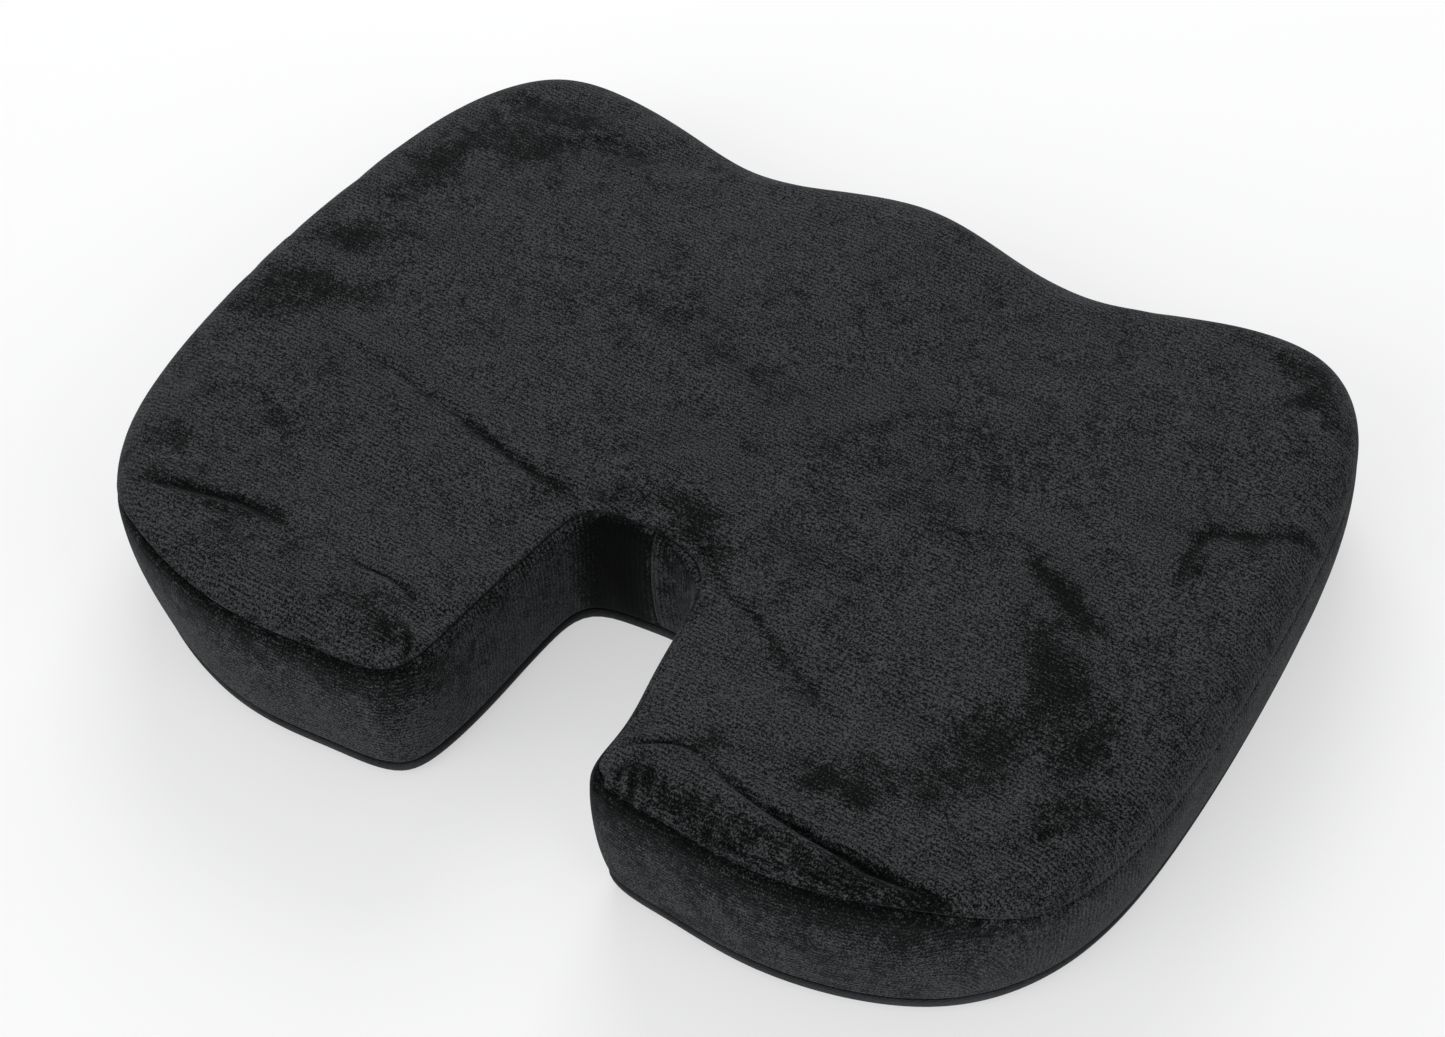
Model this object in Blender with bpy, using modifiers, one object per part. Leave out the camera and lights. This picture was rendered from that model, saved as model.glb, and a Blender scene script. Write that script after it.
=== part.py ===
"""U-shaped coccyx seat cushion: a foam core in a zip-off velour cover.

Metres, +Z up.  The origin is under the middle of the cushion, on the surface it rests on.
+Y is the front (thigh) edge, -Y the rear edge with the coccyx notch, +X the sitter's right.
"""
import math

import bmesh
import bpy
import numpy as np
from mathutils import Vector

# ---------------------------------------------------------------- driving dimensions (metres)
WIDTH = 0.450                 # over both sides
DEPTH = 0.340                 # rear of the lobes to the front edge
HEIGHT = 0.071                # resting surface to the top of the pommel and of the rear lobes
NOTCH_WIDTH = 0.070           # between the straight walls of the coccyx notch
NOTCH_LENGTH = 0.119          # from the rear edge to the end wall of the notch
CORNER = 0.040                # how far in from the box the corner control points stand
FRONT_WAVE = 0.019            # how far the front edge dips back at each thigh

POMMEL_RISE = 0.0045          # ridge between the thighs
THIGH_DIP = 0.0035            # hollow under each thigh
LOBE_RISE = 0.0030            # the two rear lobes stand a little above the seat
SIDE_EDGE_RADIUS = 0.016      # soft edge along the sides and front
REAR_EDGE_RADIUS = 0.007      # crisper edge round the lobes and the notch
BOTTOM_EDGE_RADIUS = 0.008
WALL_LEAN = 0.003             # the wall stands in by this much at its foot

VELOUR = 0.0020               # pile and backing
BASE_FABRIC = 0.0014          # non-slip base fabric
COVER_EASE = 0.0005           # between the cover and the foam
SEAM_GAP = 0.0016             # between two sewn edges, where the thread runs
SEAM_EDGE = 0.0006            # straight edge of a panel beside its seam
THREAD_RADIUS = 0.0005

ZIP_LENGTH = 0.340            # straight zip across the underside
ZIP_Y = 0.085                 # its line, towards the front
ZIP_SLOT_HALF = 0.0105        # from the zip line to the cut edge of the base panel
ZIP_END_TAPE = 0.008          # tape past each end of the slot
TAPE = 0.0006                 # tape thickness
TAPE_WING = 0.0175            # from the zip line to the outer edge of a tape
COIL = 0.0022                 # across one row of nylon elements
COIL_GAP = 0.0004             # between the closed rows
COIL_MIDDLE = 0.0062          # height of the rows over the floor
CLEARANCE = 0.0003            # between neighbouring pieces that touch
RUN = 0.0004                  # running clearance of the slider and the pull

SLIDER_LENGTH = 0.0120
SLIDER_PLATE = 0.0009
SLIDER_FLANGE = 0.0008
SLIDER_POST = 0.0014          # post that joins the two plates and parts the rows
BRIDGE_WIDTH = 0.0016
BRIDGE_BAR = 0.0012
BRIDGE_SPAN = 0.0074          # over both legs
PULL_BAR = 0.0012             # round bar that turns in the bridge
PULL_LENGTH = 0.0230
PULL_WIDTH = 0.0064
PULL_ARM = 0.0016
STOP_LENGTH = 0.0022
SLIDER_PARK = 0.0160          # closed slider to the end of the zip

# how many facets
NOTCH_STEPS = 10
AXIS_STEPS = 10
ACROSS_STEPS = 8
FILLET_STEPS = 3

COLLECTION = "seat_cushion"


# ---------------------------------------------------------------- scene and materials
def clear_scene():
    """Start from an empty scene."""
    for old in list(bpy.data.objects):
        bpy.data.objects.remove(old, do_unlink=True)
    parts = bpy.data.collections.new(COLLECTION)
    cutters = bpy.data.collections.new("cutters")
    for collection in (parts, cutters):
        bpy.context.scene.collection.children.link(collection)
    return parts, cutters


def material(name, colour, roughness, metallic=0.0):
    """One Principled material."""
    made = bpy.data.materials.new(name)
    made.use_nodes = True
    shader = made.node_tree.nodes["Principled BSDF"]
    shader.inputs["Base Color"].default_value = (*colour, 1.0)
    shader.inputs["Roughness"].default_value = roughness
    shader.inputs["Metallic"].default_value = metallic
    made.diffuse_color = (*colour, 1.0)
    return made


def add_object(name, data, mat):
    """Put a mesh or curve in the cushion's collection under the name of its sub-part."""
    made = bpy.data.objects.new(name, data)
    PARTS.objects.link(made)
    if mat:
        data.materials.append(mat)
    return made


def box_mesh(low, high):
    """A cuboid between two corners, as a bmesh."""
    made = bmesh.new()
    bmesh.ops.create_cube(made, size=1.0)
    low = Vector(low)
    high = Vector(high)
    bmesh.ops.scale(made, verts=made.verts, vec=high - low)
    bmesh.ops.translate(made, verts=made.verts, vec=(low + high) / 2)
    return made


def box_object(name, low, high, mat, origin=(0, 0, 0)):
    """A cuboid sub-part whose object origin is where it turns or slides from."""
    made = box_mesh(low, high)
    bmesh.ops.translate(made, verts=made.verts, vec=-Vector(origin))
    mesh = bpy.data.meshes.new(name)
    made.to_mesh(mesh)
    made.free()
    placed = add_object(name, mesh, mat)
    placed.location = origin
    return placed


def cutter(name, low, high):
    """A hidden cuboid that a Boolean cuts with."""
    made = box_mesh(low, high)
    mesh = bpy.data.meshes.new(name)
    made.to_mesh(mesh)
    made.free()
    tool = bpy.data.objects.new(name, mesh)
    CUTTERS.objects.link(tool)
    tool.hide_render = True
    tool.display_type = "WIRE"
    return tool


def boolean(target, tool, operation="DIFFERENCE"):
    """Cut or join one object with another."""
    step = target.modifiers.new(operation.lower(), "BOOLEAN")
    step.operation = operation
    step.solver = "EXACT"
    step.object = tool


# ---------------------------------------------------------------- the outline of the cushion
def half_control_points():
    """Control points of the right half of the outline, from the notch to the front centre."""
    side = WIDTH / 2 + 0.001
    rear = -DEPTH / 2 - 0.002
    front = DEPTH / 2
    notch = NOTCH_WIDTH / 2
    notch_end = rear + 0.002 + NOTCH_LENGTH
    return np.array([
        (0.0, notch_end + 0.0005),
        (notch - 0.010, notch_end - 0.005),
        (notch - 0.0025, notch_end - 0.029),
        (notch, notch_end - 0.068),
        (notch + 0.002, rear + 0.005),
        (notch + 0.041, rear + 0.005),
        (side / 2 + 0.004, rear - 0.001),
        (side - CORNER, rear + 0.017),
        (side - 0.005, rear + 0.067),
        (side, rear + 0.137),
        (side - 0.0025, front - 0.124),
        (side - 0.011, front - 0.038),
        (side - CORNER, front + 0.003),
        (side * 0.615, front),
        (side * 0.372, front - FRONT_WAVE - 0.001),
        (side * 0.176, front - 0.012),
        (0.0, front - 0.001),
    ])


def closed_spline(points, u):
    """Uniform cubic B-spline through a closed loop of control points, and its tangent."""
    whole = np.floor(u).astype(int)
    t = (u - whole)[:, None]
    near = [points[(whole + k) % len(points)] for k in (-1, 0, 1, 2)]
    weights = ((1 - t) ** 3, 3 * t ** 3 - 6 * t ** 2 + 4, -3 * t ** 3 + 3 * t ** 2 + 3 * t + 1, t ** 3)
    slopes = (-(1 - t) ** 2, 3 * t ** 2 - 4 * t, -3 * t ** 2 + 2 * t + 1, t ** 2)
    place = sum(w * p for w, p in zip(weights, near)) / 6
    tangent = sum(s * p for s, p in zip(slopes, near)) / 2
    return place, tangent


def stretch(loop, start, end, steps):
    """Spline parameters that divide the outline between two of them into equal lengths."""
    fine = np.linspace(start, end, 400)
    place, _ = closed_spline(loop, fine)
    length = np.r_[0, np.cumsum(np.linalg.norm(np.diff(place, axis=0), axis=1))]
    return np.interp(np.linspace(0, length[-1], steps + 1), length, fine)


class Stations:
    """The points round the right half of the outline, with inward normals and edge radii.

    They run from the end wall of the notch, along its side, across the rear of the lobe,
    up the side and along the front edge to the middle.
    """

    def __init__(self):
        half = half_control_points()
        mirrored = half[-2:0:-1] * (-1, 1)
        loop = np.vstack([half, mirrored])
        inner_corner = 4.25
        outer_corner = 7.5
        front_corner = 11.9
        front_centre = len(half) - 1
        sides = [
            stretch(loop, 0, inner_corner, NOTCH_STEPS)[:-1],
            stretch(loop, inner_corner, outer_corner, ACROSS_STEPS)[:-1],
            stretch(loop, outer_corner, front_corner, NOTCH_STEPS + AXIS_STEPS)[:-1],
            stretch(loop, front_corner, front_centre, ACROSS_STEPS),
        ]
        self.u = np.concatenate(sides)
        self.place, tangent = closed_spline(loop, self.u)
        tangent /= np.linalg.norm(tangent, axis=1)[:, None]
        self.inward = np.c_[-tangent[:, 1], tangent[:, 0]]
        self.place[[0, -1], 0] = 0.0
        self.inward[[0, -1], 0] = 0.0
        softness = np.clip((self.u - 6.6) / 1.2, 0, 1)
        softness = softness ** 2 * (3 - 2 * softness)
        self.radius = REAR_EDGE_RADIUS + (SIDE_EDGE_RADIUS - REAR_EDGE_RADIUS) * softness
        self.count = len(self.u)


def top_height(x, y):
    """Height of the cushion's top: pommel ridge, thigh hollows and raised rear lobes."""
    front = DEPTH / 2
    level = HEIGHT - POMMEL_RISE
    pommel = np.exp(-(x / 0.045) ** 2) * np.exp(-((y - front + 0.030) / 0.060) ** 2)
    thigh = np.exp(-((np.abs(x) - 0.086) / 0.034) ** 2) * np.exp(-((y - front + 0.018) / 0.055) ** 2)
    lobe = np.clip((-0.070 - y) / 0.070, 0, 1)
    lobe = lobe ** 2 * (3 - 2 * lobe)
    return level + POMMEL_RISE * pommel - THIGH_DIP * thigh + LOBE_RISE * lobe


def edge_level(stations):
    """Height of the top where it starts to round over, at each station."""
    inner = stations.place + stations.inward * stations.radius[:, None]
    return top_height(inner[:, 0], inner[:, 1])


def ring(stations, inset, height):
    """One closed line round the right half: each station moved inward and set at a height."""
    plan = stations.place + stations.inward * np.reshape(inset, (-1, 1))
    plan[[0, -1], 0] = 0.0
    return np.c_[plan, np.broadcast_to(height, len(plan))]


def top_rings(stations, shrink):
    """The rounded top edge, from the flat of the top down to the upper seam."""
    level = edge_level(stations)
    radius = stations.radius
    rings = []
    for angle in np.linspace(0, math.pi / 2, FILLET_STEPS + 1):
        inset = radius - (radius - shrink) * math.sin(angle)
        height = level - radius + (radius - shrink) * math.cos(angle)
        rings.append(ring(stations, inset, height))
    return rings


def bottom_rings(stations, shrink, lift):
    """The rounded bottom edge, from the lower seam down to the flat of the base."""
    radius = BOTTOM_EDGE_RADIUS
    rings = []
    for angle in np.linspace(math.pi / 2, 0, FILLET_STEPS + 1):
        inset = WALL_LEAN + radius - (radius - shrink) * math.sin(angle)
        height = radius - (radius - lift) * math.cos(angle)
        rings.append(ring(stations, np.full(stations.count, inset), height))
    return rings


def seam_edge(stations, which):
    """The straight edge of the top panel or of the base panel, where it meets the band."""
    if which == "top":
        return ring(stations, np.zeros(stations.count), edge_level(stations) - stations.radius - SEAM_EDGE)
    return ring(stations, np.full(stations.count, WALL_LEAN), BOTTOM_EDGE_RADIUS + SEAM_EDGE)


def wall_rings(stations, shrink, trim):
    """The side wall between the two seams, short of each by a trim."""
    top = edge_level(stations) - stations.radius
    height_top = top - trim
    height_foot = BOTTOM_EDGE_RADIUS + trim
    lean_top = WALL_LEAN * trim / (top - BOTTOM_EDGE_RADIUS)
    return [
        ring(stations, shrink + lean_top, height_top),
        ring(stations, shrink + WALL_LEAN / 2, (height_top + height_foot) / 2),
        ring(stations, shrink + WALL_LEAN - lean_top, height_foot),
    ]


def seam_line(stations, which, shrink):
    """The middle of the gap between two sewn edges, at a depth under the cover's face."""
    top = edge_level(stations) - stations.radius
    if which == "top":
        return ring(stations, np.full(stations.count, shrink), top - SEAM_EDGE - SEAM_GAP / 2)
    inset = shrink + WALL_LEAN
    return ring(stations, np.full(stations.count, inset), BOTTOM_EDGE_RADIUS + SEAM_EDGE + SEAM_GAP / 2)


def plan_grid(border):
    """A Coons patch over the right half, bounded by one ring.

    Its inner side is the notch wall and then the middle line, its outer side the side wall,
    and its ends are the rear of the lobe and the front edge.
    """
    rows = NOTCH_STEPS + AXIS_STEPS
    side_start = NOTCH_STEPS + ACROSS_STEPS
    notch = border[:NOTCH_STEPS + 1][::-1]
    rear = border[NOTCH_STEPS:side_start + 1]
    side = border[side_start:side_start + rows + 1]
    front = border[side_start + rows:][::-1]
    axis_share = np.linspace(0, 1, AXIS_STEPS + 1)[1:, None]
    inner = np.vstack([notch, notch[-1] + (front[0] - notch[-1]) * axis_share])
    across = np.linspace(0, 1, ACROSS_STEPS + 1)[None, :, None]
    along = np.linspace(0, 1, rows + 1)[:, None, None]
    ruled = (1 - across) * inner[:, None] + across * side[:, None]
    other = (1 - along) * rear[None] + along * front[None]
    corners = ((1 - along) * ((1 - across) * rear[0] + across * rear[-1])
               + along * ((1 - across) * front[0] + across * front[-1]))
    return ruled + other - corners


def top_grid(stations, shrink):
    """The top of the right half, between its rounded edges."""
    plan = plan_grid(top_rings(stations, 0)[0][:, :2])
    return np.dstack([plan, top_height(plan[..., 0], plan[..., 1]) - shrink])


def bottom_grid(stations, lift):
    """The flat base of the right half, between its rounded edges."""
    plan = plan_grid(bottom_rings(stations, 0, lift)[-1][:, :2])
    return np.dstack([plan, np.full(plan.shape[:2], lift)])


# ---------------------------------------------------------------- meshes of the soft parts
def half_mesh(name, rings, top=None, base=None, side=1):
    """Faces through a list of rings, top first, with an optional grid over each end.

    The rings run round the right half.  A side of -1 gives the left half instead.
    """
    vertices = []
    faces = []

    def quad(a, b, c, d):
        faces.append((a, b, c, d) if side > 0 else (d, c, b, a))

    count = len(rings[0])
    for line in rings:
        vertices.extend(line)
    for k in range(len(rings) - 1):
        for i in range(count - 1):
            upper = k * count + i
            lower = upper + count
            quad(lower, lower + 1, upper + 1, upper)
    for grid, up in ((top, True), (base, False)):
        if grid is None:
            continue
        start = len(vertices)
        rows, columns, _ = grid.shape
        vertices.extend(grid.reshape(-1, 3))
        for j in range(rows - 1):
            for i in range(columns - 1):
                corner = start + j * columns + i
                above = corner + columns
                if up:
                    quad(corner, corner + 1, above + 1, above)
                else:
                    quad(corner, above, above + 1, corner + 1)
    points = np.array(vertices) * (side, 1, 1)
    mesh = bpy.data.meshes.new(name)
    mesh.from_pydata(points.tolist(), [], faces)
    made = bmesh.new()
    made.from_mesh(mesh)
    bmesh.ops.remove_doubles(made, verts=made.verts, dist=0.00002)
    made.to_mesh(mesh)
    made.free()
    mesh.shade_smooth()
    mesh.set_sharp_from_angle(angle=math.radians(40))
    return mesh


def mirrored(piece):
    """Join the right half to its mirror image."""
    step = piece.modifiers.new("mirror", "MIRROR")
    step.use_clip = True
    step.merge_threshold = 0.00005


def solid_shell(piece, thickness):
    """Give an open outer face its fabric thickness, inward."""
    step = piece.modifiers.new("thickness", "SOLIDIFY")
    step.thickness = thickness
    step.offset = -1


def foam_core(stations):
    """One moulded block of memory foam, with the channel that the zip is pressed into."""
    shrink = VELOUR + COVER_EASE
    lift = BASE_FABRIC + COVER_EASE
    rings = (top_rings(stations, shrink) + wall_rings(stations, shrink, 0)[1:2]
             + bottom_rings(stations, shrink, lift))
    mesh = half_mesh("foam_core", rings, top_grid(stations, shrink), bottom_grid(stations, lift))
    core = add_object("foam_core", mesh, material("memory_foam", (0.62, 0.60, 0.52), 0.9))
    mirrored(core)
    end = TAPE_END + COVER_EASE
    reach = TAPE_WING + COVER_EASE
    channel = cutter("zip_channel", (-end, ZIP_Y - reach, -0.01),
                     (end, ZIP_Y + reach, SLIDER_TOP + COVER_EASE))
    boolean(core, channel)
    return core


def top_panel(stations, fabric):
    """The velour top: one piece that rounds over to the upper seam."""
    rings = top_rings(stations, 0) + [seam_edge(stations, "top")]
    mesh = half_mesh("top_panel", rings, top_grid(stations, 0))
    panel = add_object("top_panel", mesh, fabric)
    mirrored(panel)
    solid_shell(panel, VELOUR)
    return panel


def side_band(stations, name, side, fabric):
    """Half of the velour wall, joined to the other half in the notch and at the front."""
    rings = wall_rings(stations, 0, SEAM_EDGE + SEAM_GAP)
    for line in rings:
        line[[0, -1], 0] = SEAM_GAP / 2
    band = add_object(name, half_mesh(name, rings, side=side), fabric)
    solid_shell(band, VELOUR)
    return band


def grip_panel(stations):
    """The non-slip base, cut away along the zip."""
    rings = [seam_edge(stations, "bottom")] + bottom_rings(stations, 0, 0)
    mesh = half_mesh("grip_panel", rings, base=bottom_grid(stations, 0))
    panel = add_object("grip_panel", mesh, material("grip_fabric", (0.020, 0.021, 0.023), 0.8))
    mirrored(panel)
    solid_shell(panel, BASE_FABRIC)
    slot = cutter("zip_slot", (-SLOT_END, ZIP_Y - ZIP_SLOT_HALF, -0.01),
                  (SLOT_END, ZIP_Y + ZIP_SLOT_HALF, BASE_FABRIC + 0.003))
    boolean(panel, slot)
    return panel


def thread(name, line, closed, mat):
    """Sewing thread through a line of points."""
    curve = bpy.data.curves.new(name, "CURVE")
    curve.dimensions = "3D"
    curve.bevel_depth = THREAD_RADIUS
    curve.bevel_resolution = 0
    curve.use_fill_caps = True
    spline = curve.splines.new("POLY")
    spline.points.add(len(line) - 1)
    spline.use_cyclic_u = closed
    for point, place in zip(spline.points, line):
        point.co = (*map(float, place), 1.0)
    return add_object(name, curve, mat)


def both_halves(line):
    """A closed line from a right-half ring and its mirror image."""
    return np.vstack([line, line[-2:0:-1] * (-1, 1, 1)])


def seam_threads(stations):
    """The two seams round the cushion and the two joins in the band."""
    polyester = material("thread", (0.012, 0.012, 0.014), 0.6)
    depth = VELOUR / 2
    upper = seam_line(stations, "top", depth)
    lower = seam_line(stations, "bottom", depth)
    thread("top_seam_thread", both_halves(upper), True, polyester)
    thread("bottom_seam_thread", both_halves(lower), True, polyester)
    for name, end in (("notch_join_thread", 0), ("front_join_thread", -1)):
        top = upper[end] - (0, 0, SEAM_GAP)
        foot = lower[end] + (0, 0, SEAM_GAP)
        thread(name, [top, foot], False, polyester)


# ---------------------------------------------------------------- the zip
TAPE_INNER = SLIDER_POST / 2 + RUN
TAPE_LEVEL = COIL_MIDDLE + COIL / 2 + CLEARANCE + TAPE / 2
LOWER_PLATE_TOP = COIL_MIDDLE - COIL / 2 - RUN
LOWER_PLATE_FOOT = LOWER_PLATE_TOP - SLIDER_PLATE
UPPER_PLATE_FOOT = TAPE_LEVEL + TAPE / 2 + RUN
SLIDER_TOP = UPPER_PLATE_FOOT + SLIDER_PLATE
CLOSED_OFFSET = COIL_GAP / 2 + COIL / 2
OPEN_OFFSET = SLIDER_POST / 2 + RUN + COIL / 2
FLANGE_INNER = OPEN_OFFSET + COIL / 2 + RUN
PLATE_HALF = FLANGE_INNER + SLIDER_FLANGE
BRIDGE_INNER = LOWER_PLATE_FOOT - 2 * RUN - PULL_BAR
BRIDGE_FOOT = BRIDGE_INNER - BRIDGE_BAR
PULL_AXIS_Z = LOWER_PLATE_FOOT - RUN - PULL_BAR / 2
SLIDER_X = ZIP_LENGTH / 2 - SLIDER_PARK
SLOT_END = SLIDER_X + PULL_LENGTH + 2 * RUN       # the flipped pull lies inside the slot
TAPE_END = SLOT_END + ZIP_END_TAPE


def zip_tape(name, side, mat):
    """A woven tape: flat on the base panel, then rising to the row of elements."""
    wing = BASE_FABRIC + CLEARANCE + TAPE / 2
    profile = [
        (TAPE_INNER, TAPE_LEVEL),
        (PLATE_HALF + RUN, TAPE_LEVEL),
        (ZIP_SLOT_HALF * 0.66, TAPE_LEVEL - (TAPE_LEVEL - wing) * 0.25),
        (ZIP_SLOT_HALF * 0.84, wing + (TAPE_LEVEL - wing) * 0.25),
        (ZIP_SLOT_HALF - 0.0003, wing),
        (TAPE_WING, wing),
    ]
    vertices = [(x, ZIP_Y + side * y, z) for x in (-TAPE_END, TAPE_END) for y, z in profile]
    count = len(profile)
    faces = []
    for i in range(count - 1):
        face = (i, i + 1, count + i + 1, count + i)
        faces.append(face if side > 0 else face[::-1])
    mesh = bpy.data.meshes.new(name)
    mesh.from_pydata(vertices, [], faces)
    tape = add_object(name, mesh, mat)
    step = tape.modifiers.new("thickness", "SOLIDIFY")
    step.thickness = TAPE
    step.offset = 0
    step.use_even_offset = True
    return tape


def zip_coil(name, side, mat):
    """One row of nylon elements, parted at the slider's post and open beyond it."""
    start = -ZIP_LENGTH / 2 + STOP_LENGTH + CLEARANCE
    end = ZIP_LENGTH / 2 - STOP_LENGTH - CLEARANCE
    route = [
        (start, CLOSED_OFFSET),
        (SLIDER_X - SLIDER_LENGTH * 0.30, CLOSED_OFFSET),
        (SLIDER_X + SLIDER_LENGTH * 0.05, OPEN_OFFSET),
        (end, OPEN_OFFSET),
    ]
    curve = bpy.data.curves.new(name, "CURVE")
    curve.dimensions = "3D"
    curve.bevel_depth = COIL / 2
    curve.bevel_resolution = 2
    curve.use_fill_caps = True
    spline = curve.splines.new("POLY")
    spline.points.add(len(route) - 1)
    for point, (x, y) in zip(spline.points, route):
        point.co = (x, ZIP_Y + side * y, COIL_MIDDLE, 1.0)
    return add_object(name, curve, mat)


def zip_stops(mat):
    """A stop on each row at the closed end, and one across both rows at the other end."""
    low = COIL_MIDDLE - COIL / 2
    high = COIL_MIDDLE + COIL / 2
    end = ZIP_LENGTH / 2
    near = OPEN_OFFSET - COIL / 2
    far = OPEN_OFFSET + COIL / 2
    box_object("zip_stop_rear", (end - STOP_LENGTH, ZIP_Y - far, low), (end, ZIP_Y - near, high), mat)
    box_object("zip_stop_front", (end - STOP_LENGTH, ZIP_Y + near, low), (end, ZIP_Y + far, high), mat)
    reach = CLOSED_OFFSET + COIL / 2
    box_object("zip_bottom_stop", (-end, ZIP_Y - reach, low), (-end + STOP_LENGTH, ZIP_Y + reach, high), mat)


def zip_slider(mat):
    """Two plates joined by a post, with flanges that close the rows and a bridge for the pull."""
    length = SLIDER_LENGTH / 2
    origin = (SLIDER_X, ZIP_Y, COIL_MIDDLE)

    def block(x, y, z):
        low = (SLIDER_X + x[0], ZIP_Y + y[0], z[0])
        high = (SLIDER_X + x[1], ZIP_Y + y[1], z[1])
        return low, high

    slider = box_object("zip_slider", *block((-length, length), (-PLATE_HALF, PLATE_HALF),
                                             (LOWER_PLATE_FOOT, LOWER_PLATE_TOP)), mat, origin)
    flange_top = TAPE_LEVEL - TAPE / 2 - RUN
    sink = SLIDER_PLATE / 2
    post_start = SLIDER_LENGTH * 0.10
    post_end = SLIDER_LENGTH * 0.40
    leg = BRIDGE_SPAN / 2
    half_bridge = BRIDGE_WIDTH / 2
    pieces = {
        "upper_plate": ((-length, length), (-PLATE_HALF, PLATE_HALF), (UPPER_PLATE_FOOT, SLIDER_TOP)),
        "post": ((post_start, post_end), (-SLIDER_POST / 2, SLIDER_POST / 2),
                 (LOWER_PLATE_TOP - sink, UPPER_PLATE_FOOT + sink)),
        "flange_rear": ((-length, length), (-PLATE_HALF, -FLANGE_INNER),
                        (LOWER_PLATE_TOP - sink, flange_top)),
        "flange_front": ((-length, length), (FLANGE_INNER, PLATE_HALF),
                         (LOWER_PLATE_TOP - sink, flange_top)),
        "bridge_leg_near": ((-leg, -leg + BRIDGE_BAR), (-half_bridge, half_bridge),
                            (BRIDGE_FOOT, LOWER_PLATE_FOOT + sink)),
        "bridge_leg_far": ((leg - BRIDGE_BAR, leg), (-half_bridge, half_bridge),
                           (BRIDGE_FOOT, LOWER_PLATE_FOOT + sink)),
        "bridge_bar": ((-leg, leg), (-half_bridge, half_bridge), (BRIDGE_FOOT, BRIDGE_INNER)),
    }
    for name, (x, y, z) in pieces.items():
        boolean(slider, cutter(name, *block(x, y, z)), "UNION")
    return slider


def zip_pull(mat):
    """A flat tab with a window, hung on the bridge by a round bar; it turns about that bar."""
    origin = (SLIDER_X, ZIP_Y, PULL_AXIS_Z)
    half = PULL_BAR / 2
    corner = math.hypot(BRIDGE_SPAN / 2, PULL_AXIS_Z - BRIDGE_FOOT)
    window = corner + RUN
    tab = box_object("zip_pull", (SLIDER_X - PULL_LENGTH, ZIP_Y - PULL_WIDTH / 2, PULL_AXIS_Z - half),
                     (SLIDER_X, ZIP_Y + PULL_WIDTH / 2, PULL_AXIS_Z + half), mat, origin)
    opening = PULL_WIDTH / 2 - PULL_ARM
    boolean(tab, cutter("pull_window", (SLIDER_X - window, ZIP_Y - opening, PULL_AXIS_Z - 0.01),
                        (SLIDER_X + 0.001, ZIP_Y + opening, PULL_AXIS_Z + 0.01)))
    bar = bmesh.new()
    bmesh.ops.create_cone(bar, cap_ends=True, segments=16, radius1=half, radius2=half, depth=PULL_WIDTH)
    mesh = bpy.data.meshes.new("pull_bar")
    bar.to_mesh(mesh)
    bar.free()
    tool = bpy.data.objects.new("pull_bar", mesh)
    tool.rotation_euler = (math.pi / 2, 0, 0)
    tool.location = origin
    tool.hide_render = True
    tool.display_type = "WIRE"
    CUTTERS.objects.link(tool)
    boolean(tab, tool, "UNION")
    return tab


# ---------------------------------------------------------------- assembly
PARTS, CUTTERS = clear_scene()


def build():
    """Every sub-part of the cushion, in its place."""
    stations = Stations()
    velour = material("velour", (0.016, 0.017, 0.020), 0.85)
    foam_core(stations)
    top_panel(stations, velour)
    side_band(stations, "side_band_right", 1, velour)
    side_band(stations, "side_band_left", -1, velour)
    grip_panel(stations)
    seam_threads(stations)
    tape = material("zip_tape", (0.014, 0.014, 0.016), 0.75)
    nylon = material("nylon", (0.012, 0.012, 0.013), 0.35)
    metal = material("black_metal", (0.030, 0.030, 0.032), 0.35, 0.8)
    zip_tape("zip_tape_rear", -1, tape)
    zip_tape("zip_tape_front", 1, tape)
    zip_coil("zip_coil_rear", -1, nylon)
    zip_coil("zip_coil_front", 1, nylon)
    zip_stops(metal)
    zip_slider(metal)
    zip_pull(metal)


build()
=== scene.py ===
import math
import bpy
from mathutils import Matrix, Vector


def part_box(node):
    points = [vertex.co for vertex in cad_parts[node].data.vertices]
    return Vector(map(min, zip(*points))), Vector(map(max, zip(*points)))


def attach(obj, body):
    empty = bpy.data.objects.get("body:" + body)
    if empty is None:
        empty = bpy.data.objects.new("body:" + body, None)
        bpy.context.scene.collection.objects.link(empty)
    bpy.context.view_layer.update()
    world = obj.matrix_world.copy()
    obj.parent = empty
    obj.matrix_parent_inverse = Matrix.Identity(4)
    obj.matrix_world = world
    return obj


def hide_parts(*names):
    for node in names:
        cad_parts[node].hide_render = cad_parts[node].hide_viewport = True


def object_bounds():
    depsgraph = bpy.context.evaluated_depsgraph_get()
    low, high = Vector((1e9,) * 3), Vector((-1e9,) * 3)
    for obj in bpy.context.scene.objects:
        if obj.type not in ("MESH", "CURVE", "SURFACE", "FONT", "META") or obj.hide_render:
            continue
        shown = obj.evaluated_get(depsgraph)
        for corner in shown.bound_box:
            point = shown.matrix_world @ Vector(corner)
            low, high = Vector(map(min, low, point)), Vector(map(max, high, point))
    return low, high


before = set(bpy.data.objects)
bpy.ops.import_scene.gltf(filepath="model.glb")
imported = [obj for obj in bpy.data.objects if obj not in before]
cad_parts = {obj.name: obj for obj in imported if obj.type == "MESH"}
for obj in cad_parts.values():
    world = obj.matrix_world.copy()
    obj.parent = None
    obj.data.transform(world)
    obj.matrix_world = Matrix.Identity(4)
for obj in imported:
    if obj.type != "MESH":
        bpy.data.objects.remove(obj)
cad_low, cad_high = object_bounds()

from types import SimpleNamespace

import bmesh
import bpy
import numpy as np
from mathutils import Matrix, Vector

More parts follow.
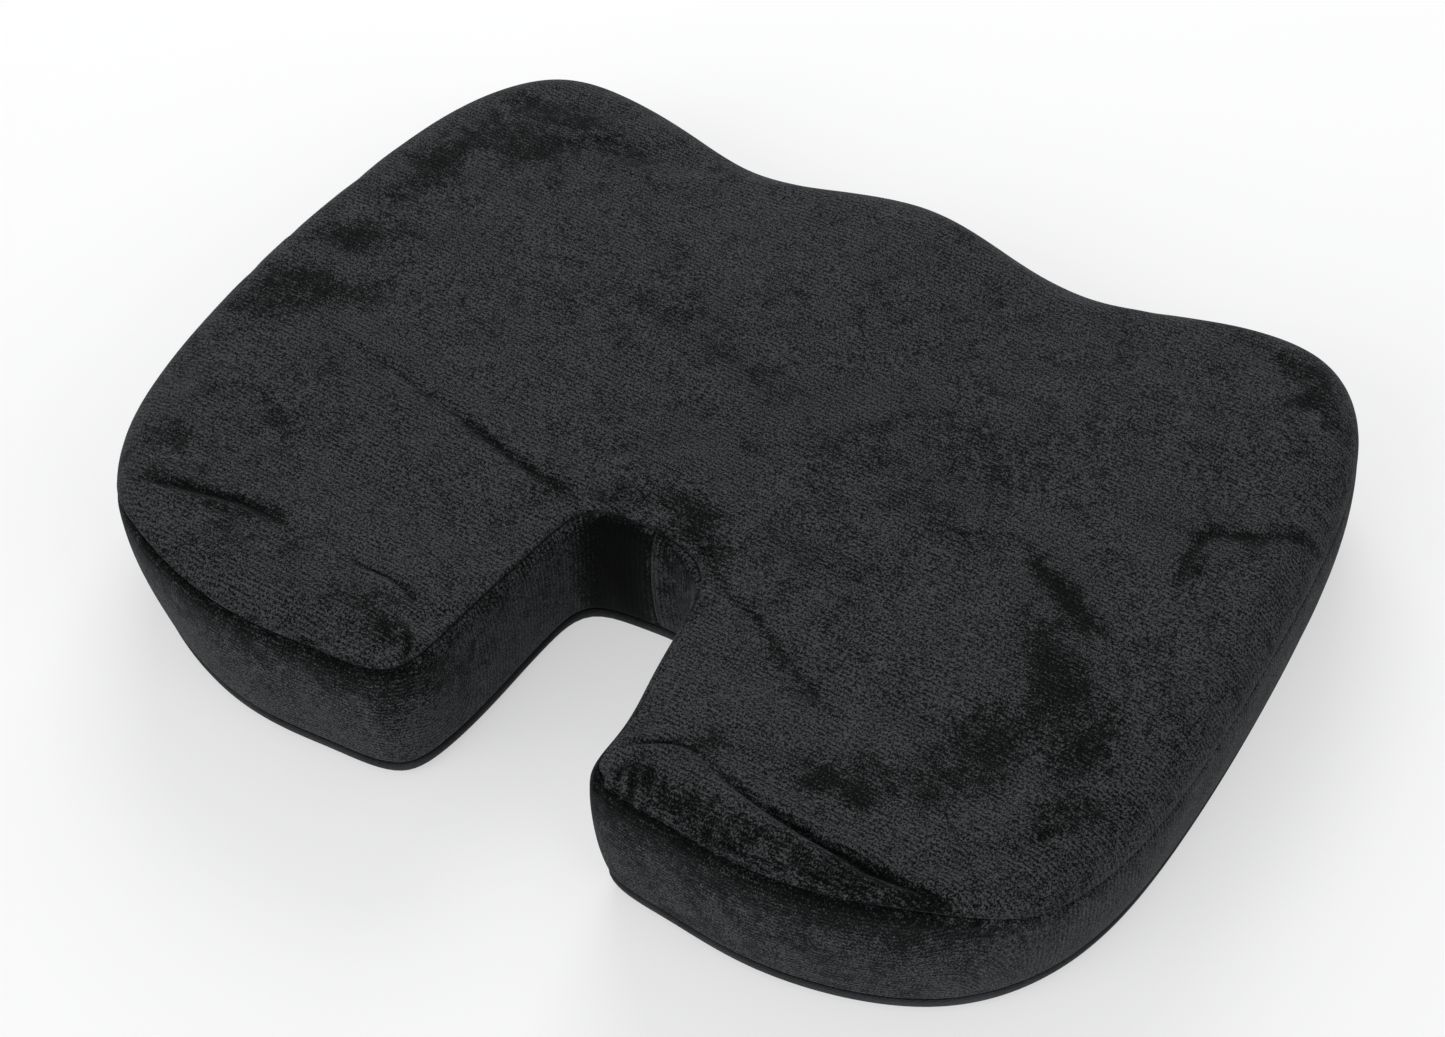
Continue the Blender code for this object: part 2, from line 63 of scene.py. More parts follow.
# ------------------------------------------------------------
# The foam block.  One moulded piece of memory foam, U-shaped round the tailbone notch, with a
# low ridge between the thighs.  It is loose in its cover and gives the cushion all its shape,
# so the outline and the surface that the fabric lies on are worked out here.
width = cad_high[0] - cad_low[0]
depth = cad_high[1] - cad_low[1]
height = cad_high[2] - cad_low[2]
NOTCH_WIDTH = 0.070
NOTCH_LENGTH = 0.119
FRONT_WAVE = 0.019
POMMEL_RISE = 0.0045
THIGH_DIP = 0.0035
LOBE_RISE = 0.0030
SIDE_ROUND = 0.016
REAR_ROUND = 0.009
BASE_ROUND = 0.008
WALL_LEAN = 0.003
FOAM_INSET = 0.0042
FOAM_STEPS = (24, 32, 36)
ZIP_CHANNEL = ((-0.1863, 0.0670, -0.004), (0.1863, 0.1030, 0.0100))


def outline_controls():
    """Control points of the whole outline: the right half, then its mirror image."""
    side = width / 2 + 0.0011
    rear = -depth / 2 - 0.002
    front = depth / 2
    notch = NOTCH_WIDTH / 2
    end = -depth / 2 + NOTCH_LENGTH
    half = np.array([
        (0.0, end + 0.0005), (notch - 0.010, end - 0.005), (notch - 0.0025, end - 0.029),
        (notch, end - 0.068), (notch + 0.002, rear + 0.005), (notch + 0.041, rear + 0.005),
        (side / 2 + 0.004, rear - 0.001), (side - 0.040, rear + 0.017),
        (side - 0.005, rear + 0.067), (side, rear + 0.137), (side - 0.0025, front - 0.124),
        (side - 0.011, front - 0.038), (side - 0.040, front + 0.003), (side * 0.615, front),
        (side * 0.372, front - FRONT_WAVE - 0.001), (side * 0.176, front - 0.012),
        (0.0, front - 0.001),
    ])
    return np.vstack([half, half[-2:0:-1] * (-1, 1)])


def closed_spline(points, u):
    """Uniform cubic B-spline round a closed loop: blend weights times the four near points."""
    whole = np.floor(u).astype(int)
    t = (u - whole)[:, None]
    near = [points[(whole + k) % len(points)] for k in (-1, 0, 1, 2)]
    blend = ((1 - t) ** 3, 3 * t ** 3 - 6 * t ** 2 + 4, -3 * t ** 3 + 3 * t ** 2 + 3 * t + 1, t ** 3)
    slope = (-(1 - t) ** 2, 3 * t ** 2 - 4 * t, -3 * t ** 2 + 2 * t + 1, t ** 2)
    place = sum(w * p for w, p in zip(blend, near)) / 6
    tangent = sum(w * p for w, p in zip(slope, near)) / 2
    return place, tangent


def even_stretch(loop, start, end, steps):
    """Parameters that cut the outline between two of them into pieces of equal length."""
    fine = np.linspace(start, end, 600)
    place, _ = closed_spline(loop, fine)
    length = np.r_[0, np.cumsum(np.linalg.norm(np.diff(place, axis=0), axis=1))]
    return np.interp(np.linspace(0, length[-1], steps + 1), length, fine)


def half_border(notch_steps, across_steps, axis_steps):
    """Points round the right half: notch end, notch side, lobe rear, side, front middle.

    Returns the points, the unit vectors that point into the cushion, how soft the top edge is
    there (0 round the notch and the rear, 1 along the sides and front), and the length so far.
    """
    loop = outline_controls()
    u = np.concatenate([
        even_stretch(loop, 0, 4.25, notch_steps)[:-1],
        even_stretch(loop, 4.25, 7.5, across_steps)[:-1],
        even_stretch(loop, 7.5, 11.9, notch_steps + axis_steps)[:-1],
        even_stretch(loop, 11.9, 16, across_steps),
    ])
    place, tangent = closed_spline(loop, u)
    tangent /= np.linalg.norm(tangent, axis=1)[:, None]
    inward = np.c_[-tangent[:, 1], tangent[:, 0]]
    place[[0, -1], 0] = 0.0
    inward[[0, -1], 0] = 0.0
    soft = np.clip((u - 6.6) / 1.2, 0, 1)
    length = np.r_[0, np.cumsum(np.linalg.norm(np.diff(place, axis=0), axis=1))]
    return place, inward, soft ** 2 * (3 - 2 * soft), length


def half_patch(edge, steps):
    """A Coons patch inside one border: ruled both ways, less the corners counted twice.

    Its inner side is the notch wall and then the middle line.
    """
    notch_steps, across_steps, axis_steps = steps
    rows = notch_steps + axis_steps
    turn = notch_steps + across_steps
    notch = edge[:notch_steps + 1][::-1]
    rear = edge[notch_steps:turn + 1]
    side = edge[turn:turn + rows + 1]
    front = edge[turn + rows:][::-1]
    share = np.linspace(0, 1, axis_steps + 1)[1:, None]
    inner = np.vstack([notch, notch[-1] + (front[0] - notch[-1]) * share])
    across = np.linspace(0, 1, across_steps + 1)[None, :, None]
    along = np.linspace(0, 1, rows + 1)[:, None, None]
    corners = ((1 - along) * ((1 - across) * rear[0] + across * rear[-1])
               + along * ((1 - across) * front[0] + across * front[-1]))
    patch = (1 - across) * inner[:, None] + across * side[:, None]
    patch = patch + (1 - along) * rear[None] + along * front[None] - corners
    return relaxed(patch, notch_steps)


def relaxed(patch, notch_steps, rounds=260):
    """The patch with each inner point moved to the mean of its four neighbours, many times.

    On the middle line the missing neighbour is the mirror image of the one beside it.
    """
    for _ in range(rounds):
        axis = patch[notch_steps + 1:-1, 0].copy()
        beside = patch[notch_steps + 1:-1, 1]
        axis[:, 1] = (patch[notch_steps:-2, 0, 1] + patch[notch_steps + 2:, 0, 1] + 2 * beside[:, 1]) / 4
        patch[1:-1, 1:-1] = (patch[:-2, 1:-1] + patch[2:, 1:-1] + patch[1:-1, :-2] + patch[1:-1, 2:]) / 4
        patch[notch_steps + 1:-1, 0] = axis
    return patch


def seat_height(x, y):
    """Height of the seat: a Gaussian ridge and two Gaussian hollows at the front, raised lobes."""
    front = depth / 2
    ridge = np.exp(-(x / 0.045) ** 2) * np.exp(-((y - front + 0.030) / 0.060) ** 2)
    hollow = np.exp(-((np.abs(x) - 0.086) / 0.034) ** 2) * np.exp(-((y - front + 0.018) / 0.055) ** 2)
    lobe = np.clip((-0.070 - y) / 0.070, 0, 1)
    lobe = lobe ** 2 * (3 - 2 * lobe)
    return height - POMMEL_RISE + POMMEL_RISE * ridge - THIGH_DIP * hollow + LOBE_RISE * lobe


def lifted(plan, z):
    """Plan points with their heights."""
    return np.dstack([plan, np.broadcast_to(z, plan.shape[:2])])


def strip(place, inward, inset, z):
    """Rows of points that follow the border, moved in by an inset at a height, lowest first."""
    plan = place[None] + inward[None] * inset[..., None]
    plan[:, [0, -1], 0] = 0.0
    return lifted(plan, z)


def both_sides(grids):
    """The right half's grids and their mirror images, still facing out."""
    return grids + [(grid * (-1, 1, 1))[:, ::-1] for grid in grids]


def placed(name, data):
    """A new object in the scene."""
    piece = bpy.data.objects.new(name, data)
    bpy.context.scene.collection.objects.link(piece)
    return piece


def quad_object(name, grids):
    """An object with one mesh from grids; a cell's corners run anticlockwise seen from outside.

    Points that coincide are made one, so grids that share an edge are joined.
    """
    points = np.vstack([grid.reshape(-1, 3) for grid in grids])
    quads = []
    start = 0
    for grid in grids:
        rows, columns = grid.shape[:2]
        index = start + np.arange(rows * columns).reshape(rows, columns)
        quads.append(np.stack([index[:-1, :-1], index[:-1, 1:], index[1:, 1:], index[1:, :-1]], axis=-1)
                     .reshape(-1, 4))
        start += rows * columns
    keys = np.round(points * 1e6).astype(np.int64)
    _, first, renumber = np.unique(keys, axis=0, return_index=True, return_inverse=True)
    quads = renumber.reshape(-1)[np.vstack(quads)]
    mesh = bpy.data.meshes.new(name)
    mesh.vertices.add(len(first))
    mesh.vertices.foreach_set("co", points[first].astype(np.float32).ravel())
    mesh.loops.add(quads.size)
    mesh.loops.foreach_set("vertex_index", quads.ravel().astype(np.int32))
    mesh.polygons.add(len(quads))
    mesh.polygons.foreach_set("loop_start", np.arange(0, quads.size, 4, dtype=np.int32))
    mesh.update(calc_edges=True)
    mesh.validate()
    mesh.shade_smooth()
    return placed(name, mesh), renumber.reshape(-1)


def grid_mesh(name, grids):
    """A piece of the cushion made from grids."""
    piece, _ = quad_object(name, grids)
    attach(piece, "cushion")
    return piece


def points_of(piece):
    """The piece's vertices and their normals, as arrays."""
    mesh = piece.data
    place = np.empty(len(mesh.vertices) * 3, np.float32)
    mesh.vertices.foreach_get("co", place)
    normal = np.empty(len(mesh.vertices) * 3, np.float32)
    mesh.vertex_normals.foreach_get("vector", normal)
    return place.reshape(-1, 3).astype(float), normal.reshape(-1, 3).astype(float)


def set_points(piece, place):
    """Put the vertices back where an array says."""
    piece.data.vertices.foreach_set("co", place.astype(np.float32).ravel())
    piece.data.update()


# How the cushion has settled out of true: middle in plan, reach, move, and whether the move
# belongs to the top (1), to the base (-1) or to the whole height (0).
SETTLING = [
    (-0.160, 0.160, 0.055, (0.0022, -0.0050, -0.0042), 1),
    (-0.020, 0.165, 0.060, (0, -0.0016, -0.0024), 1),
    (0.090, 0.155, 0.036, (0, 0.0022, 0.0010), 1),
    (-0.225, 0.010, 0.085, (-0.0042, 0, 0), 1),
    (0.160, 0.165, 0.060, (-0.0010, 0.0022, 0), 1),
    (0.038, -0.134, 0.028, (0.0054, 0, 0), 0),
    (0.038, -0.172, 0.022, (-0.0036, 0, 0), 0),
    (-0.026, -0.054, 0.020, (-0.0032, 0.0032, 0), 0),
    (-0.012, -0.058, 0.024, (0, -0.0060, 0), -1),
    (-0.036, -0.115, 0.034, (0.0024, 0, 0), -1),
    (-0.185, -0.160, 0.055, (0.0048, 0.0042, 0), -1),
    (-0.036, -0.165, 0.020, (0.0010, 0, 0), 0),
]


def settled(place):
    """The points moved by every settling, each a Gaussian in plan times a share of the height."""
    rise = np.clip(place[:, 2] / height, 0, 1)
    moved = place.copy()
    for x, y, reach, move, level in SETTLING:
        near = np.exp(-((place[:, 0] - x) ** 2 + (place[:, 1] - y) ** 2) / reach ** 2)
        near = near * (rise if level > 0 else 1 - rise if level < 0 else 1)
        moved += near[:, None] * np.array(move)
    return moved


def settle(piece):
    """Settle a finished piece's points."""
    place, _ = points_of(piece)
    set_points(piece, settled(place))


def edge_profile(level, radius, shrink, angle):
    """The rounded top edge from its foot up: inset and height along a quarter circle."""
    inset = radius - (radius - shrink) * np.sin(angle)
    return inset, level - radius + (radius - shrink) * np.cos(angle)


def top_edge(steps):
    """The border of the right half, with the radius and the top of its rounded edge."""
    place, inward, soft, length = half_border(*steps)
    radius = REAR_ROUND + (SIDE_ROUND - REAR_ROUND) * soft
    inner = place + inward * radius[:, None]
    return place, inward, radius, seat_height(inner[:, 0], inner[:, 1]), length


def foam_grids():
    """The foam's skin: seat, rounded edge, wall, rounded foot and base, all a little inside."""
    place, inward, radius, level, _ = top_edge(FOAM_STEPS)
    quarter = np.linspace(math.pi / 2, 0, 7)[:, None]
    inset, z = edge_profile(level, radius, FOAM_INSET, quarter)
    rounded = strip(place, inward, inset, z)
    seat = half_patch(rounded[-1, :, :2].copy(), FOAM_STEPS)
    turn = np.linspace(0, math.pi / 2, 7)[:, None] * np.ones(len(place))
    foot_inset = WALL_LEAN + BASE_ROUND - (BASE_ROUND - FOAM_INSET) * np.sin(turn)
    foot_z = BASE_ROUND - (BASE_ROUND - FOAM_INSET) * np.cos(turn)
    foot = strip(place, inward, foot_inset, foot_z)
    rise = np.linspace(0, 1, 12)[:, None]
    wall_z = foot_z[-1] + (z[0] - foot_z[-1]) * rise
    wall = strip(place, inward, FOAM_INSET + WALL_LEAN * (1 - rise) * np.ones(len(place)), wall_z)
    base = half_patch(foot[0, :, :2].copy(), FOAM_STEPS)
    seat = lifted(seat, seat_height(seat[..., 0], seat[..., 1]) - FOAM_INSET)
    return [seat, rounded, wall, foot, lifted(base, FOAM_INSET)[:, ::-1]]


def new_finish(name, roughness, specular=0.25):
    """A Principled material, with the handles that its nodes are added and joined by."""
    made = bpy.data.materials.new(name)
    made.use_nodes = True
    nodes = made.node_tree.nodes
    shader = nodes["Principled BSDF"]
    shader.inputs["Roughness"].default_value = roughness
    shader.inputs["Specular IOR Level"].default_value = specular
    return SimpleNamespace(made=made, nodes=nodes, links=made.node_tree.links, shader=shader,
                           where=nodes.new("ShaderNodeTexCoord").outputs["Object"])


def add_node(finish, kind, settings=None, **joined):
    """A node with its values set, and its inputs joined to other nodes' outputs by name."""
    node = finish.nodes.new(kind)
    for key, value in (settings or {}).items():
        if key in node.inputs:
            node.inputs[key].default_value = value
        else:
            setattr(node, key, value)
    for key, output in joined.items():
        socket = next(s for s in node.inputs if s.name == key and not s.is_linked and s.enabled)
        finish.links.new(output, socket)
    return node


def noise(finish, scale, detail=3.0, roughness=0.5, where=None):
    """The value of a noise pattern."""
    settings = {"Scale": scale, "Detail": detail, "Roughness": roughness}
    place = finish.where if where is None else where
    return add_node(finish, "ShaderNodeTexNoise", settings, Vector=place).outputs["Fac"]


def paint(finish, value, stops):
    """Base colour from a value, by a ramp through (position, colour) stops."""
    node = finish.nodes.new("ShaderNodeValToRGB")
    finish.links.new(value, node.inputs["Fac"])
    while len(node.color_ramp.elements) < len(stops):
        node.color_ramp.elements.new(0.5)
    for element, (position, colour) in zip(node.color_ramp.elements, stops):
        element.position = position
        element.color = (*colour, 1.0)
    finish.links.new(node.outputs["Color"], finish.shader.inputs["Base Color"])


def roughen(finish, value, strength, distance):
    """Bumps as high as a value says."""
    bump = add_node(finish, "ShaderNodeBump", {"Strength": strength, "Distance": distance}, Height=value)
    finish.links.new(bump.outputs["Normal"], finish.shader.inputs["Normal"])


def finished_mesh(made, name):
    """A mesh from a bmesh, which is freed."""
    mesh = bpy.data.meshes.new(name)
    made.to_mesh(mesh)
    made.free()
    return mesh


def cut_box(piece, low, high):
    """Cut a box out of a piece with an exact Boolean, and apply the piece's modifiers."""
    made = bmesh.new()
    bmesh.ops.create_cube(made, size=1.0)
    middle = (Vector(low) + Vector(high)) / 2
    size = Vector(high) - Vector(low)
    bmesh.ops.scale(made, vec=size, verts=made.verts)
    bmesh.ops.translate(made, vec=middle, verts=made.verts)
    knife = placed("slot", finished_mesh(made, "slot"))
    cut = piece.modifiers.new("slot", "BOOLEAN")
    cut.solver = "EXACT"
    cut.object = knife
    whole = piece.evaluated_get(bpy.context.evaluated_depsgraph_get())
    result = bpy.data.meshes.new_from_object(whole)
    piece.modifiers.clear()
    piece.data = result
    bpy.data.objects.remove(knife)


def foam_material():
    """Cream foam: fine open cells and broad, faint yellowing."""
    finish = new_finish("memory_foam", 0.9, 0.2)
    cells = add_node(finish, "ShaderNodeTexVoronoi", {"Scale": 900.0}, Vector=finish.where)
    paint(finish, noise(finish, 9.0), [(0.3, (0.58, 0.55, 0.44)), (0.7, (0.68, 0.66, 0.58))])
    roughen(finish, cells.outputs["Distance"], 0.5, 0.0004)
    return finish.made


foam = grid_mesh("memory_foam_block", both_sides(foam_grids()))
settle(foam)
cut_box(foam, *ZIP_CHANNEL)
foam.data.materials.append(foam_material())
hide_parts("foam_core")

# ------------------------------------------------------------
# The top panel.  One piece of short-pile black velour with fine ribs across the seat.  It is
# cut a little large, so it lies in creases behind the tailbone and puckers where it is gathered
# into the seam; the pile is brushed dark in patches.
TOP_STEPS = (92, 120, 140)
SLACK_STEPS = (23, 30, 35)
SEAM_DEPTH = 0.0014
SEAM_LIP = 0.0010
VELOUR_THICKNESS = 0.0018
RIB_PITCH = 0.0020
EDGE_ROWS = 14
LIP_ROWS = 5
SLACK_EDGE_ROWS = 5
SLACK = 0.012
SLACK_PRESSURE = 0.6
SLACK_LIMIT = 0.0016

# Routes of the creases over the seat, in millimetres: points in plan, depth and half width, and
# then the share of the depth by which the cloth swells beside them.
CREASES = [
    ([(-184, -134), (-163, -128), (-139, -123), (-114, -124)], 1.5, 2, 0.5),
    ([(-94, -127), (-76, -125), (-63, -126), (-47, -133)], 1.4, 1.4, 0.5),
    ([(-49, -143), (-45, -148), (-43, -154)], 1.2, 1.2, 0.3),
    ([(44, -147), (55, -139), (66, -135), (78, -137)], 1.6, 1.4, 0.5),
    ([(74, -136), (101, -143), (136, -147), (164, -147), (190, -143)], 3.2, 1.8, 0.5),
    ([(112, -137), (124, -139), (137, -138)], 0.6, 1.6, 0.3),
    ([(-171, -27), (-131, -34), (-108, -39), (-74, -47)], 0.7, 2.6, 0.4),
    ([(-108, -38), (-70, -48), (-50, -52), (-28, -57)], 1.4, 2.6, 0.5),
    ([(22, -52), (42, -63), (59, -70), (85, -84), (104, -95)], 0.7, 3, 0.3),
    ([(128, 10), (147, 0), (172, -15)], 0.7, 3.5, 0.3),
    ([(190, 91), (203, 88), (220, 85)], 0.7, 0.9, 0.2),
    ([(186, 16), (180, 36), (182, 52), (196, 60), (219, 74)], 0.7, 2.6, 0.4),
    ([(119, 127), (134, 125), (150, 126)], 0.6, 1.2, 0.3),
    ([(45, 132), (57, 119), (67, 106)], 0.5, 4, 0.3),
    ([(70, -159), (100, -163.5), (133, -160), (160, -155)], 0.5, 1.2, 0.5),
]
# Where the pile is brushed dark: middle and half lengths in millimetres, turn in degrees, strength.
BRUSHED = [
    (-190, 22, 16, 11, 30, 0.9), (-200, -20, 22, 12, 60, 0.75), (-178, -12, 20, 10, 40, 0.5),
    (-190, 80, 10, 40, 0, 0.7), (-172, 108, 18, 14, 30, 0.6), (-168, 134, 26, 8, 10, 0.6),
    (-132, 128, 20, 10, 0, 0.35), (-154, -48, 14, 5, -40, 0.6), (-160, -78, 16, 6, -30, 0.5),
    (-150, -126, 34, 6, 8, 0.6), (-184, -110, 14, 7, 20, 0.5), (-120, -136, 30, 10, 0, 0.4),
    (-70, -140, 18, 8, 10, 0.4), (-54, -146, 8, 6, 0, 0.8), (60, -154, 10, 6, 20, 0.7),
    (80, -158, 14, 4, -10, 0.5), (130, -156, 50, 5, -4, 0.45), (88, -162, 40, 5, 0, 0.4),
    (168, -150, 30, 7, 0, 0.7), (74, -128, 10, 6, 0, 0.6), (118, -124, 8, 6, 30, 0.8),
    (134, -122, 8, 6, 0, 0.8), (128, -112, 18, 9, 10, 0.5), (152, -104, 12, 10, 0, 0.5),
    (158, -78, 16, 16, 20, 0.7), (158, -30, 12, 20, 30, 0.6), (172, -46, 12, 18, 0, 0.9),
    (190, -62, 10, 18, -20, 0.8), (198, -90, 8, 16, -20, 0.6), (150, 0, 28, 7, -28, 0.6),
    (184, 36, 6, 16, 10, 0.55), (190, 56, 16, 6, 20, 0.5), (208, 70, 10, 5, 20, 0.5),
    (166, 152, 22, 6, -10, 0.6), (186, 140, 10, 10, -45, 0.5), (10, -40, 24, 10, -10, 0.5),
    (60, -30, 30, 22, -20, 0.25), (60, 20, 40, 16, -28, 0.22), (100, 50, 30, 20, 0, 0.18),
    (30, 100, 40, 24, 0, 0.18), (-20, 40, 50, 16, -28, 0.15), (-116, -60, 14, 6, -30, 0.3),
    (85, -88, 30, 5, -28, 0.4),
]


def smooth_route(points, steps=14):
    """A Catmull-Rom curve through a crease's points."""
    ends = np.vstack([2 * points[0] - points[1], points, 2 * points[-1] - points[-2]])
    t = np.linspace(0, 1, steps, endpoint=False)[:, None]
    runs = []
    for a, b, c, d in zip(ends, ends[1:], ends[2:], ends[3:]):
        runs.append(0.5 * (2 * b + (c - a) * t + (2 * a - 5 * b + 4 * c - d) * t ** 2
                           + (3 * b - a - 3 * c + d) * t ** 3))
    return np.vstack(runs + [points[-1:]])


def route_distance(x, y, route):
    """Distance in plan to a route, and the share of its length at the nearest point."""
    near = np.full(x.shape, np.inf)
    share = np.zeros(x.shape)
    length = np.r_[0, np.cumsum(np.linalg.norm(np.diff(route, axis=0), axis=1))]
    for start, end, before, after in zip(route, route[1:], length, length[1:]):
        along = end - start
        t = ((x - start[0]) * along[0] + (y - start[1]) * along[1]) / (along @ along)
        t = np.clip(t, 0, 1)
        gap = np.hypot(x - start[0] - t * along[0], y - start[1] - t * along[1])
        closer = gap < near
        near = np.where(closer, gap, near)
        share = np.where(closer, (before + t * (after - before)) / length[-1], share)
    return near, share


def creases():
    """Each crease's curve, depth, half width and swell, in metres."""
    for points, deep, half_width, swell in CREASES:
        yield smooth_route(np.array(points) / 1000), deep / 1000, half_width / 1000, swell


def crease_relief(x, y):
    """Sum over the creases: a Gaussian valley with a low swell on each side, faded at its ends."""
    relief = np.zeros(x.shape)
    for route, deep, half_width, swell in creases():
        gap, share = route_distance(x, y, route)
        fade = np.sin(math.pi * np.clip(share, 0, 1)) ** 0.7
        valley = np.exp(-(gap / half_width) ** 2)
        shoulder = np.exp(-((gap - 2.6 * half_width) / (1.8 * half_width)) ** 2)
        relief += deep * fade * (swell * shoulder - valley)
    return relief


def crease_shade(x, y):
    """Painted shade in the creases, drawn as darker pile: 1 at the bottom of the deepest."""
    shade = np.zeros(x.shape)
    for route, deep, half_width, _ in creases():
        gap, share = route_distance(x, y, route)
        fade = np.sin(math.pi * np.clip(share, 0, 1)) ** 0.6
        dark = min(1.0, deep / 0.0016) * fade * np.exp(-(gap / (0.8 * half_width)) ** 2)
        shade = np.maximum(shade, dark)
    return shade


def brushed_shade(x, y):
    """How dark the brushed patches are: turned Gaussian ellipses."""
    light = np.ones(x.shape)
    for middle_x, middle_y, half_x, half_y, turn, strength in BRUSHED:
        c = math.cos(math.radians(turn))
        s = math.sin(math.radians(turn))
        along = x * 1000 - middle_x
        across = y * 1000 - middle_y
        u = (along * c + across * s) / half_x
        v = (across * c - along * s) / half_y
        light *= 1 - strength * np.exp(-(u * u + v * v) ** 1.2)
    return 1 - light


def ripples(x, y, waves):
    """A sum of sines whose lengths, directions and phases come from a seeded draw."""
    draw = np.random.default_rng(11)
    total = np.zeros(x.shape)
    for _ in range(waves):
        angle = draw.uniform(0, 2 * math.pi)
        length = draw.uniform(0.022, 0.090)
        phase = draw.uniform(0, 2 * math.pi)
        run = x * math.cos(angle) + y * math.sin(angle)
        total += length * np.sin(run * 2 * math.pi / length + phase)
    return total / waves / 0.05


def gathers(x, y):
    """Small puckers where the cloth is gathered round the lobe's inner corner and at two more
    places: a sine along the seam, strong only near each place."""
    total = np.zeros(x.shape)
    for middle_x, middle_y, spread, pitch, high in (
            (0.060, -0.158, 0.015, 0.0062, 0.0018), (0.096, -0.163, 0.018, 0.0070, 0.0008),
            (0.147, -0.164, 0.010, 0.0050, 0.0008), (-0.060, -0.163, 0.014, 0.0060, 0.0004),
            (0.036, -0.070, 0.012, 0.0060, 0.0004)):
        near = np.exp(-((x - middle_x) / spread) ** 2 - ((y - middle_y) / 0.008) ** 2)
        total += high * near * np.sin((x + 0.5 * (y - middle_y)) * 2 * math.pi / pitch)
    return total


def lobe_roll(y):
    """Between the crease and the seam the lobes' tops swell a little, then fall to the seam."""
    share = np.clip((-0.132 - y) / 0.036, 0, 1)
    return 0.0012 * np.sin(math.pi * share) - 0.0022 * share ** 2.5


def seam_angle(radius):
    """How far down the rounded edge the top seam lies: near the top round the notch and the rear,
    and at the foot of the rounding, a quarter turn down, along the sides and the front."""
    soft = (radius - REAR_ROUND) / (SIDE_ROUND - REAR_ROUND)
    return math.pi / 2 * (0.42 + 0.58 * soft)


def top_grids(steps, edge_rows):
    """The seat, and the rounded edge, which ends in a narrow lip that dips into the seam."""
    place, inward, radius, level, _ = top_edge(steps)
    seam = seam_angle(radius)
    inset, z = edge_profile(level, radius, 0.0, seam * np.linspace(1, 0, edge_rows)[:, None])
    dip = np.linspace(math.pi / 2, 0, LIP_ROWS, endpoint=False)[:, None]
    down = SEAM_LIP * np.sin(dip)
    deep = SEAM_DEPTH * (1 - np.cos(dip))
    lip_inset = inset[0] - down * np.cos(seam) + deep * np.sin(seam)
    lip_z = z[0] - down * np.sin(seam) - deep * np.cos(seam)
    edge = strip(place, inward, np.vstack([lip_inset, inset]), np.vstack([lip_z, z]))
    seat = half_patch(edge[-1, :, :2].copy(), steps)
    return [lifted(seat, seat_height(seat[..., 0], seat[..., 1])), edge]


def cubic_weights(coarse, fine):
    """Catmull-Rom weights that read a row of coarse samples at evenly spread finer places."""
    at = np.linspace(0, coarse - 1, fine)
    before = np.minimum(at.astype(int), coarse - 2)
    t = at - before
    weights = np.zeros((fine, coarse))
    row = np.arange(fine)
    for step, share in ((-1, -0.5 * t ** 3 + t ** 2 - 0.5 * t), (0, 1.5 * t ** 3 - 2.5 * t ** 2 + 1),
                        (1, -1.5 * t ** 3 + 2 * t ** 2 + 0.5 * t), (2, 0.5 * t ** 3 - 0.5 * t ** 2)):
        np.add.at(weights, (row, np.clip(before + step, 0, coarse - 1)), share)
    return weights


def resampled(grid, shape):
    """A coarse grid of vectors read at a finer grid's places."""
    rows = cubic_weights(grid.shape[0], shape[0])
    columns = cubic_weights(grid.shape[1], shape[1])
    return np.einsum("ra,abk,cb->rck", rows, grid, columns)


def slack_moves():
    """How far slack cloth moves from the drawn shape, by a cloth simulation on a coarse panel.

    The panel is sewn down along the seam, is a little larger than the foam it covers, and is
    blown up gently; each move is then limited by a hyperbolic tangent.
    """
    grids = both_sides([grid if k == 0 else grid[LIP_ROWS:] for k, grid in
                        enumerate(top_grids(SLACK_STEPS, SLACK_EDGE_ROWS))])
    cloth, renumber = quad_object("slack_cloth", grids)
    start, _ = points_of(cloth)
    seam_rows = np.concatenate([(np.arange(grid.shape[0])[:, None] + np.zeros(grid.shape[1])).ravel()
                                if k % 2 else np.ones(grid.shape[0] * grid.shape[1])
                                for k, grid in enumerate(grids)])
    seam = cloth.vertex_groups.new(name="seam")
    seam.add(np.unique(renumber[seam_rows == 0]).tolist(), 1.0, "REPLACE")
    modifier = cloth.modifiers.new("cloth", "CLOTH")
    settings = modifier.settings
    settings.quality = 6
    settings.mass = 0.25
    settings.tension_stiffness = 20
    settings.compression_stiffness = 12
    settings.shear_stiffness = 6
    settings.bending_stiffness = 0.3
    settings.shrink_min = -SLACK
    settings.use_pressure = True
    settings.uniform_pressure_force = SLACK_PRESSURE
    settings.vertex_group_mass = "seam"
    settings.effector_weights.gravity = 0
    modifier.collision_settings.use_collision = False
    for frame_number in range(1, 21):
        bpy.context.scene.frame_set(frame_number)
    shaped = cloth.evaluated_get(bpy.context.evaluated_depsgraph_get()).to_mesh()
    end = np.empty(len(shaped.vertices) * 3, np.float32)
    shaped.vertices.foreach_get("co", end)
    move = end.reshape(-1, 3) - start
    bpy.data.objects.remove(cloth)
    bpy.context.scene.frame_set(1)
    far = np.linalg.norm(move, axis=1)[:, None] + 1e-9
    move = move * SLACK_LIMIT * np.tanh(far / SLACK_LIMIT) / far
    sizes = np.cumsum([grid.shape[0] * grid.shape[1] for grid in grids])[:-1]
    return [part.reshape(*grid.shape) for part, grid in zip(np.split(move[renumber], sizes), grids)]


